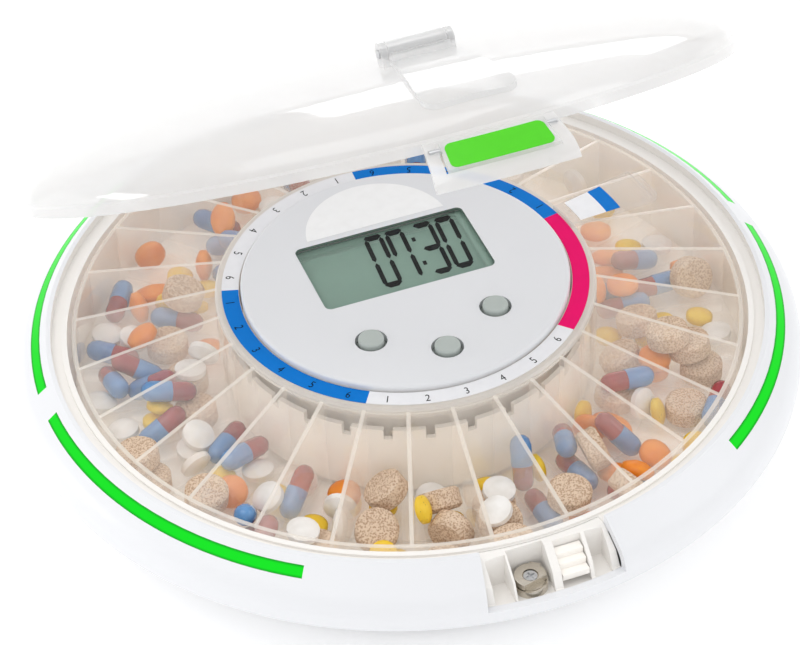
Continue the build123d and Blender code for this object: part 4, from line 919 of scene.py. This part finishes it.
@dataclass
class Tray:
    """The clear tray: floor, inner and outer wall and 28 dividers, moulded as one piece.

    A wall is its inner and outer radius and the height of its lip. The divider's tops are its
    heights at the inner and the outer wall.
    """

    floor_z: Flat = (14.0, 15.5)
    bore: float = 51.0
    inner_wall: Point = (54.0, 55.5, 46.6)
    outer_wall: Point = (96.5, 98.0, 37.6)
    foot_bevel: float = 0.8
    divider_thick: float = 1.2
    divider_tops: Flat = (47.2, 37.4)
    divider_sink: float = 0.05
    divider_bite: float = 0.4
    divider_spare: float = 6.0
    top_round: float = 0.8
    count: int = 28
    first: float = -84.17
    fillet: float = 2.6
    smooth_angle: float = 40.0
    edge_z: float = 30.0
    edge_slope: float = 0.3
    step: float = field(init=False)

    def __post_init__(self) -> None:
        """Work out the angle between dividers."""
        self.step = 360 / self.count

    def bowl(self, lift: float = 0.0) -> Object:
        """Spin the floor and the two walls, with rounded lips and corners.

        Args:
            lift: How much taller the walls stand, in millimetres.

        Returns:
            The bowl.
        """
        low, top = self.floor_z
        in0, in1, in_top = self.inner_wall
        out0, out1, out_top = self.outer_wall
        half_in, half_out, bend = (in1 - in0) / 2, (out1 - out0) / 2, self.fillet
        profile = [(self.bore, low), (out1 - self.foot_bevel, low), (out1, low + self.foot_bevel)]
        profile += arc(((out0 + out1) / 2, out_top + lift - half_out), half_out, 0, 180, 7)
        profile += arc((out0 - bend, top + bend), bend, 0, -90, 6)
        profile += arc((in1 + bend, top + bend), bend, -90, -180, 6)
        profile += arc(((in0 + in1) / 2, in_top + lift - half_in), half_in, 0, 180, 7)
        profile += [(in0, top), (self.bore, top)]
        return lathed("tray_bowl", profile, steps=196)

    def divider(self, lift: float = 0.0) -> Object:
        """Model one divider: filleted foot, plain sides and a rounded, sloping top.

        Args:
            lift: How much taller it stands, in millimetres.

        Returns:
            The divider, along +X.
        """
        half, bend, foot = self.divider_thick / 2, self.fillet, self.floor_z[1] - self.divider_sink
        peak = self.divider_tops[0] + lift + self.divider_spare
        right = [(y, z) for y, z in arc((half + bend, foot + bend), bend, -90, -180, 6)]
        left = [(-y, z) for y, z in reversed(right)]
        outline = right + [(half, peak), (-half, peak)] + left
        start, end = self.inner_wall[1] - self.divider_bite, self.outer_wall[0] + self.divider_bite
        obj = prism("divider", [(start, y, z) for y, z in outline], (end - start, 0, 0))
        rise = self.divider_tops[1] - self.divider_tops[0]
        slope = Vector((-rise, 0, end - start)).normalized()
        edit(obj, lambda: bpy.ops.mesh.bisect(
            plane_co=Vector((start, 0, self.divider_tops[0] + lift)) * MM, plane_no=slope,
            use_fill=True, clear_outer=True))
        if not lift:
            self.round_top(obj, half * self.top_round)
        return obj

    def round_top(self, obj: Object, width: float) -> None:
        """Round the two long edges along a divider's top.

        Args:
            obj: The divider.
            width: How far the rounding reaches in from each edge.
        """
        activate(obj)
        bpy.ops.object.mode_set(mode="EDIT")
        bpy.ops.mesh.select_mode(type="EDGE")
        mesh = bmesh.from_edit_mesh(obj.data)
        for edge in mesh.edges:
            middle = (edge.verts[0].co + edge.verts[1].co) / 2
            edge.select_set(edge.calc_length() > 20 * MM and middle.z > self.edge_z * MM)
        bmesh.update_edit_mesh(obj.data)
        bpy.ops.mesh.bevel(offset=width * MM, segments=3, affect="EDGES", clamp_overlap=True)
        bpy.ops.object.mode_set(mode="OBJECT")

    def turns(self) -> list[Matrix]:
        """Return the turn of each divider from +X."""
        return [turned(self.first + self.step * n) for n in range(self.count)]

    def build(self) -> None:
        """Join the bowl and its dividers into the clear tray."""
        model = self.divider()
        parts = [self.bowl()]
        parts += [twin(model, "divider_copy", turn) for turn in self.turns()]
        bpy.data.objects.remove(model)
        tray = smooth(join("clear_tray", parts), self.smooth_angle)
        paint(tray, Shade.TRAY, Shade.TRAY_EDGE)
        for face in tray.data.polygons:
            # painted highlight: up-facing faces high on the tray take the second, whiter and glowing finish
            face.material_index = int(face.center.z > self.edge_z * MM and face.normal.z > self.edge_slope)
        fit(tray, "tray", ("tray_floor", "tray_inner_wall", "tray_outer_wall", "tray_dividers"))


@dataclass
class RingPrint:
    """The dose numbers 1 to 6, printed on the blue and white bands of the dosage ring."""

    starts: tuple[float, ...] = (162.24, 237.5, 11.6, 86.9)
    pitch: float = 12.55
    radius: float = 51.1
    height: float = 2.6
    squeeze: float = 0.8
    z: float = 48.2
    ink: float = 0.03
    half_depth: float = 0.01

    def glyph(self, text: str) -> Object:
        """Model one flat number, centred on the origin.

        Args:
            text: What it reads.

        Returns:
            Its thin mesh.
        """
        deselect()
        bpy.ops.object.text_add(location=(0, 0, 0))
        words = bpy.context.object
        words.data.body = text
        words.data.size = 1.0
        words.data.extrude = self.half_depth
        words.data.resolution_u = 3
        bpy.ops.object.convert(target="MESH")
        obj = bpy.context.object
        xs = [v.co.x for v in obj.data.vertices]
        ys = [v.co.y for v in obj.data.vertices]
        size = self.height * MM / (max(ys) - min(ys))
        centre = Matrix.Translation(((-(max(xs) + min(xs)) / 2), -(max(ys) + min(ys)) / 2, 0))
        thin = self.ink * MM / (2 * self.half_depth)
        return place(obj, Matrix.Diagonal((size * self.squeeze, size, thin, 1)) @ centre)

    def build(self) -> None:
        """Print the numbers round the ring."""
        parts = []
        models = [self.glyph(str(number)) for number in range(1, 7)]
        for start in self.starts:
            for index, model in enumerate(models):
                degrees = start + self.pitch * (index + 0.5)
                spot = Matrix.Translation(Vector(polar(self.radius, degrees, self.z)) * MM)
                parts.append(twin(model, "number", spot @ turned(degrees + 90)))
        for model in models:
            bpy.data.objects.remove(model)
        numbers = paint(join("dose_numbers", parts), Shade.INK)
        fit(numbers, "tray")


@dataclass
class Display:
    """The liquid crystal's black segments, which read 07:30.

    The bars are the thickness of the level and of the upright segments, and a dot of the colon
    is given by its half width and half height.
    """

    time: str = "0730"
    middles: tuple[float, ...] = (-2.9, 3.6, 12.6, 19.3)
    colon_x: float = 8.4
    colon_y: float = 5.6
    dot: Flat = (0.55, 0.9)
    centre_y: float = 10.6
    digit: Flat = (4.5, 21.9)
    bars: Flat = (2.4, 1.4)
    nick: float = 0.2
    gap: float = 0.25
    slant: float = 0.065
    z: float = 48.02
    ink: float = 0.05

    LIT = {"0": "abcdef", "7": "abcf", "3": "abcdg"}

    def strip(self, outline: Sequence[Flat], at: float) -> Object:
        """Make one thin slanted patch from its outline about a digit's middle."""
        spots = [(at + x + self.slant * y, self.centre_y + y, self.z) for x, y in outline]
        return prism("strip", spots, (0, 0, self.ink))

    def segments(self, letter: str, at: float) -> list[Object]:
        """Model one digit's lit segments.

        Args:
            letter: The digit.
            at: Its middle along X in millimetres.

        Returns:
            One thin six-sided strip for each lit segment.
        """
        wide, tall = self.digit[0] / 2, self.digit[1] / 2
        level, upright = self.bars
        ends = {"a": ((-wide, tall), (wide, tall)), "g": ((-wide, 0), (wide, 0)),
                "d": ((-wide, -tall), (wide, -tall)),
                "f": ((-wide, 0), (-wide, tall)), "b": ((wide, 0), (wide, tall)),
                "e": ((-wide, -tall), (-wide, 0)), "c": ((wide, -tall), (wide, 0))}
        made = []
        for name in self.LIT[letter]:
            start, end = (Vector(point) for point in ends[name])
            along = (end - start).normalized()
            across = Vector((-along.y, along.x)) * (level if name in "adg" else upright) / 2
            start, end = start + along * self.gap, end - along * self.gap
            tip = along * (upright if name in "adg" else level) / 2
            if name in "adg":
                nick = across * self.nick
                corners = (start - tip + nick, start + tip - across, end - tip - across,
                           end + tip + nick, end + across, start + across)
            else:
                corners = (start, start + tip - across, end - tip - across, end, end - tip + across,
                           start + tip + across)
            made.append(self.strip([tuple(point) for point in corners], at))
        return made

    def build(self) -> None:
        """Draw the time."""
        parts = []
        for letter, middle in zip(self.time, self.middles):
            parts += self.segments(letter, middle)
        half, tall = self.dot
        for y in (-self.colon_y, self.colon_y):
            corners = [(-half, y - tall), (half, y - tall), (half, y + tall), (-half, y + tall)]
            parts.append(self.strip(corners, self.colon_x))
        fit(paint(join("time_segments", parts), Shade.INK), "base")


@dataclass
class HubFilm:
    """The bare, round-topped film stuck on the hub above the display."""

    centre: Flat = (0.2, 22.3)
    radius: float = 21.6
    chord_y: float = 25.1
    z: float = 50.0
    thick: float = 0.14
    edge_bevel: float = 0.05

    def build(self) -> None:
        """Cut the film and stick it down."""
        start = math.degrees(math.asin((self.chord_y - self.centre[1]) / self.radius))
        rim = arc(self.centre, self.radius, start, 180 - start, 40)
        film = prism("hub_film", [(x, y, self.z) for x, y in rim], (0, 0, self.thick))
        modify(film, "BEVEL", width=self.edge_bevel * MM, segments=1, limit_method="ANGLE",
               angle_limit=math.radians(50))
        fit(paint(film, Shade.BARE), "base")


@dataclass(frozen=True)
class PillKind:
    """One kind of dose: how to model it and how often it turns up."""

    name: str
    share: float
    make: Callable[[], Object]


def tablet(name: str, shade: Shade, width: float, thick: float, band: float, steps: int = 18) -> Object:
    """Model a tablet with two domed faces and a straight band.

    Args:
        name: The object's name.
        shade: Its finish.
        width: Its diameter in millimetres.
        thick: Its greatest thickness.
        band: The height of its straight side.
        steps: Faces round its turn.

    Returns:
        The tablet, centred on the origin.
    """
    half, cap = width / 2, (thick - band) / 2
    shares = (0.0, 0.45, 0.8, 1.0)
    lower = [(half * share, -band / 2 - cap * (1 - share ** 2)) for share in shares]
    upper = [(radius, -height) for radius, height in reversed(lower)]
    return smooth(paint(lathed(name, lower + upper, steps, closed=False), shade), 60)


def chalk_tablet() -> Object:
    """Model the large flat-faced tablet with bevelled rims."""
    half, tall, rim, bevel = 6.2, 3.0, 0.9, 0.8
    lower = [(0, -tall), (half - rim, -tall), (half, -tall + bevel)]
    upper = [(radius, -height) for radius, height in reversed(lower)]
    return smooth(paint(lathed("beige_tablet", lower + upper, 22, closed=False), Shade.BEIGE), 30)


def oval_tablet() -> Object:
    """Model the long orange tablet."""
    obj = tablet("oval_tablet", Shade.ORANGE, 9.0, 5.2, 1.6)
    return place(obj, Matrix.Diagonal((1.5, 0.85, 1, 1)))


def capsule() -> Object:
    """Model a two-piece capsule, its blue cap over its red body."""
    cap, body, length, lap = 3.15, 2.98, 16.6, 0.6
    turns = (0, 0.5, 1.0, math.pi / 2)
    low = [(body * math.sin(t), -length / 2 + body * (1 - math.cos(t))) for t in turns]
    high = [(cap * math.sin(t), length / 2 - cap * (1 - math.cos(t))) for t in reversed(turns)]
    obj = lathed("capsule", low + [(body, -lap), (cap, -lap)] + high, 14, closed=False)
    paint(obj, Shade.GEL_BLUE, Shade.GEL_RED)
    for face in obj.data.polygons:
        face.material_index = int(face.center.z < -lap * MM * 1.01)
    return smooth(obj, 50)


@dataclass
class Doses:
    """The pills that lie in the tray, dropped in by a rigid-body simulation.

    They fall in layers between two radii, each swayed, leant or tipped by up to so many degrees,
    and the compartments between the two angles of few hold fewer. The simulation runs at a
    hundred times the real size, where its solver is steady. What ends outside the tray isn't kept.
    """

    tray: Tray
    seed: int = 11
    scale: float = 100.0
    frames: int = 110
    fence: float = 120.0
    few: tuple[int, int] = (15, 80)
    drop_radii: Flat = (64, 84)
    drop_z: float = 25
    layer: float = 13.0
    sway: float = 1.2
    lean: float = 40
    tip: float = 25
    rest_z: float = 3.2
    rest_layer: float = 1.6
    kept_z: Flat = (13, 44)
    kept_radii: Flat = (55, 97)
    kinds: tuple[PillKind, ...] = (
        PillKind("beige", 0.15, chalk_tablet),
        PillKind("capsule", 0.27, capsule),
        PillKind("orange", 0.16, lambda: tablet("orange_tablet", Shade.ORANGE, 9.5, 5.4, 1.8)),
        PillKind("yellow", 0.15, lambda: tablet("yellow_tablet", Shade.YELLOW, 8.0, 4.2, 1.5)),
        PillKind("white", 0.19, lambda: tablet("white_tablet", Shade.CHALK, 9.3, 4.6, 1.7)),
        PillKind("oval", 0.04, oval_tablet),
    )

    def fill(self, middle: float) -> int:
        """Return how many pills lie in the compartment at an angle in degrees."""
        low, high = self.few
        return 3 if low < middle % 360 < high else 6

    def drops(self) -> list[tuple[int, PillKind, Matrix]]:
        """Choose each pill's kind, compartment and starting place.

        Returns:
            Compartment number, kind and starting matrix of each pill, in metres.
        """
        dice = random.Random(self.seed)
        chosen = []
        for cell in range(self.tray.count):
            middle = self.tray.first + self.tray.step * (cell + 0.5)
            for layer in range(self.fill(middle) + dice.randint(0, 1)):
                kind = dice.choices(self.kinds, [one.share for one in self.kinds])[0]
                radius = dice.uniform(*self.drop_radii)
                angle = middle + dice.uniform(-self.sway, self.sway)
                spot = Vector(polar(radius, angle, self.drop_z + layer * self.layer)) * MM
                turn = Matrix.Rotation(dice.uniform(0, math.tau), 4, "Z")
                lean = Matrix.Rotation(math.radians(dice.uniform(-self.lean, self.lean)), 4, "X")
                if kind.name == "capsule":
                    lean = Matrix.Rotation(math.radians(90 + dice.uniform(-self.tip, self.tip)), 4, "Y")
                    turn = turned(middle + dice.uniform(-self.lean, self.lean))
                chosen.append((cell, kind, Matrix.Translation(spot) @ turn @ lean))
        return chosen

    def container(self) -> Object:
        """Model the walls that the pills fall between, taller than the tray's own.

        Returns:
            The container at simulation scale.
        """
        model = self.tray.divider(self.fence)
        parts = [self.tray.bowl(self.fence)]
        parts += [twin(model, "fence", turn) for turn in self.tray.turns()]
        bpy.data.objects.remove(model)
        return place(join("container", parts), Matrix.Scale(self.scale, 4))

    @staticmethod
    def solid(obj: Object, kind: str, **settings: object) -> Object:
        """Make an object take part in the simulation.

        Args:
            obj: The object.
            kind: ACTIVE for what falls, PASSIVE for what stands still.
            settings: Its rigid body's settings.

        Returns:
            The object.
        """
        activate(obj)
        bpy.ops.rigidbody.object_add(type=kind)
        obj.rigid_body.use_margin = True
        for name, value in settings.items():
            setattr(obj.rigid_body, name, value)
        return obj

    def settle(self, chosen: list[tuple[int, PillKind, Matrix]],
               models: dict[str, Object]) -> list[Matrix]:
        """Drop the pills and let them come to rest.

        Args:
            chosen: The pills and where they start.
            models: One modelled pill of each kind.

        Returns:
            Where each pill comes to rest, in metres.
        """
        scene = bpy.context.scene
        bpy.ops.rigidbody.world_add()
        scene.rigidbody_world.substeps_per_frame = 12
        scene.rigidbody_world.solver_iterations = 16
        scene.rigidbody_world.point_cache.frame_end = self.frames
        walls = self.solid(orderly(self.container()), "PASSIVE", collision_shape="MESH", collision_margin=0.01,
                           friction=0.5)
        movers = []
        for number, (_, kind, start) in enumerate(chosen):
            mover = orderly(twin(models[kind.name], f"mover_{number}", Matrix.Scale(self.scale, 4)))
            high = Matrix.Translation(start.to_translation() * self.scale)
            mover.matrix_world = high @ start.to_3x3().to_4x4()
            movers.append(self.solid(mover, "ACTIVE", collision_shape="CONVEX_HULL", collision_margin=0.005,
                                     friction=0.55, restitution=0.05, linear_damping=0.15,
                                     angular_damping=0.35))
        for frame in range(1, self.frames + 1):
            scene.frame_set(frame)
        rests = []
        graph = bpy.context.evaluated_depsgraph_get()
        for mover in movers:
            final = mover.evaluated_get(graph).matrix_world.copy()
            there = Matrix.Translation(final.to_translation() / self.scale)
            rests.append(there @ final.to_3x3().normalized().to_4x4())
        bpy.ops.rigidbody.world_remove()
        for obj in movers + [walls]:
            bpy.data.objects.remove(obj)
        scene.frame_set(1)
        return rests

    def build(self) -> None:
        """Fill the tray, one piece for each compartment."""
        models = {kind.name: kind.make() for kind in self.kinds}
        chosen = self.drops()
        rests = self.settle(chosen, models)
        cells: dict[int, list[Object]] = {}
        for (cell, kind, _), rest in zip(chosen, rests):
            spot = rest.to_translation() / MM
            (low, high), (near, far) = self.kept_z, self.kept_radii
            if low < spot.z < high and near < math.hypot(spot.x, spot.y) < far:
                cells.setdefault(cell, []).append(twin(models[kind.name], "pill", rest))
        for model in models.values():
            bpy.data.objects.remove(model)
        for cell, pills in sorted(cells.items()):
            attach(join(f"doses_{cell + 1:02d}", pills), "tray")
            LOG.info("doses_%02d holds %d pills", cell + 1, len(pills))


# ------------------------------------------------------------------ the studio
@dataclass(frozen=True)
class SoftBox:
    """A soft light: its place, aim and size in metres, and its power in watts."""

    name: str
    spot: Point
    aim: Point
    size: Flat
    power: float

    def hang(self) -> None:
        """Hang the light."""
        lamp = bpy.data.lights.new(self.name, "AREA")
        lamp.shape = "RECTANGLE"
        lamp.size, lamp.size_y = self.size
        lamp.energy = self.power
        obj = bpy.data.objects.new(self.name, lamp)
        bpy.context.scene.collection.objects.link(obj)
        aimed = (Vector(self.aim) - Vector(self.spot)).to_track_quat("-Z", "Y").to_matrix().to_4x4()
        obj.matrix_world = Matrix.Translation(self.spot) @ aimed


@dataclass
class Studio:
    """The camera, the floor and the soft lights.

    The camera's focal length is in the frame's own pixels, and the floor's radius in metres.
    """

    focal: float = 3033.14
    frame_wide: int = 800
    sensor: float = 36.0
    distance: float = 878.81
    azimuth: float = -18.77
    elevation: float = 41.22
    roll: float = 2.84
    offset: Flat = (-2.13, -12.19)
    target_z: float = 48.0
    floor_radius: float = 6.0
    room_light: float = 0.76
    lights: tuple[SoftBox, ...] = (
        SoftBox("overhead", (-0.3, 0.2, 1.5), (0, 0, 0.05), (1.6, 1.6), 11.5),
        SoftBox("front", (-0.6, -1.15, 1.0), (0, 0, 0.03), (1.1, 0.8), 1.2),
        SoftBox("side", (1.3, -0.6, 0.9), (0, 0, 0.05), (0.7, 0.9), 3),
        SoftBox("behind", (0.55, 1.3, 0.25), (0, 0, 0.1), (0.8, 0.35), 2.2),
        SoftBox("left", (-1.12, 0.42, 0.2), (0, 0, 0.12), (0.5, 0.2), 1.6),
    )

    def camera(self) -> None:
        """Set the camera up."""
        az, el, roll = (math.radians(value) for value in (self.azimuth, self.elevation, self.roll))
        back = Vector((math.cos(el) * math.sin(az), -math.cos(el) * math.cos(az), math.sin(el)))
        right = Vector((math.cos(az), math.sin(az), 0))
        up = Vector((-math.sin(el) * math.sin(az), math.sin(el) * math.cos(az), math.cos(el)))
        spot = back * self.distance + right * self.offset[0] + up * self.offset[1]
        spot += Vector((0, 0, self.target_z))
        cos, sin = math.cos(roll), math.sin(roll)
        right, up = right * cos - up * sin, right * sin + up * cos
        lens = bpy.data.cameras.new("camera")
        lens.sensor_fit = "HORIZONTAL"
        lens.sensor_width = self.sensor
        lens.lens = self.sensor * self.focal / self.frame_wide
        lens.clip_start, lens.clip_end = 0.01, 50
        obj = bpy.data.objects.new("camera", lens)
        bpy.context.scene.collection.objects.link(obj)
        turn = Matrix((right, up, back)).transposed().to_4x4()
        obj.matrix_world = Matrix.Translation(spot * MM) @ turn
        bpy.context.scene.camera = obj

    def floor(self) -> None:
        """Lay the pale floor."""
        deselect()
        bpy.ops.mesh.primitive_circle_add(vertices=96, radius=self.floor_radius, fill_type="NGON",
                                          location=(0, 0, 0))
        ground = bpy.context.object
        ground.name = "floor"
        paint(ground, Shade.FLOOR)

    def sky(self) -> None:
        """Fill the room with soft light."""
        world = bpy.data.worlds.new("room")
        world.use_nodes = True
        tree = world.node_tree
        tree.nodes.clear()
        light = add(tree, "ShaderNodeBackground", Color=(1, 1, 1, 1), Strength=self.room_light)
        add(tree, "ShaderNodeOutputWorld", Surface=light)
        bpy.context.scene.world = world

    def build(self) -> None:
        """Build the camera, floor, lights and the picture's plain tone curve."""
        self.camera()
        self.floor()
        self.sky()
        for light in self.lights:
            light.hang()
        scene = bpy.context.scene
        scene.view_settings.view_transform = "Standard"
        scene.view_settings.look = "None"
        scene.cycles.transparent_max_bounces = 48
        scene.cycles.max_bounces = 14


def main() -> None:
    """Build the dispenser's looks over its frame."""
    logging.basicConfig(level=logging.INFO, format="%(name)s: %(message)s")
    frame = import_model()
    Studio().build()
    Housing(frame).build()
    tray = Tray()
    tray.build()
    RingPrint().build()
    Display().build()
    HubFilm().build()
    Doses(tray).build()


if __name__ == "__main__":
    main()
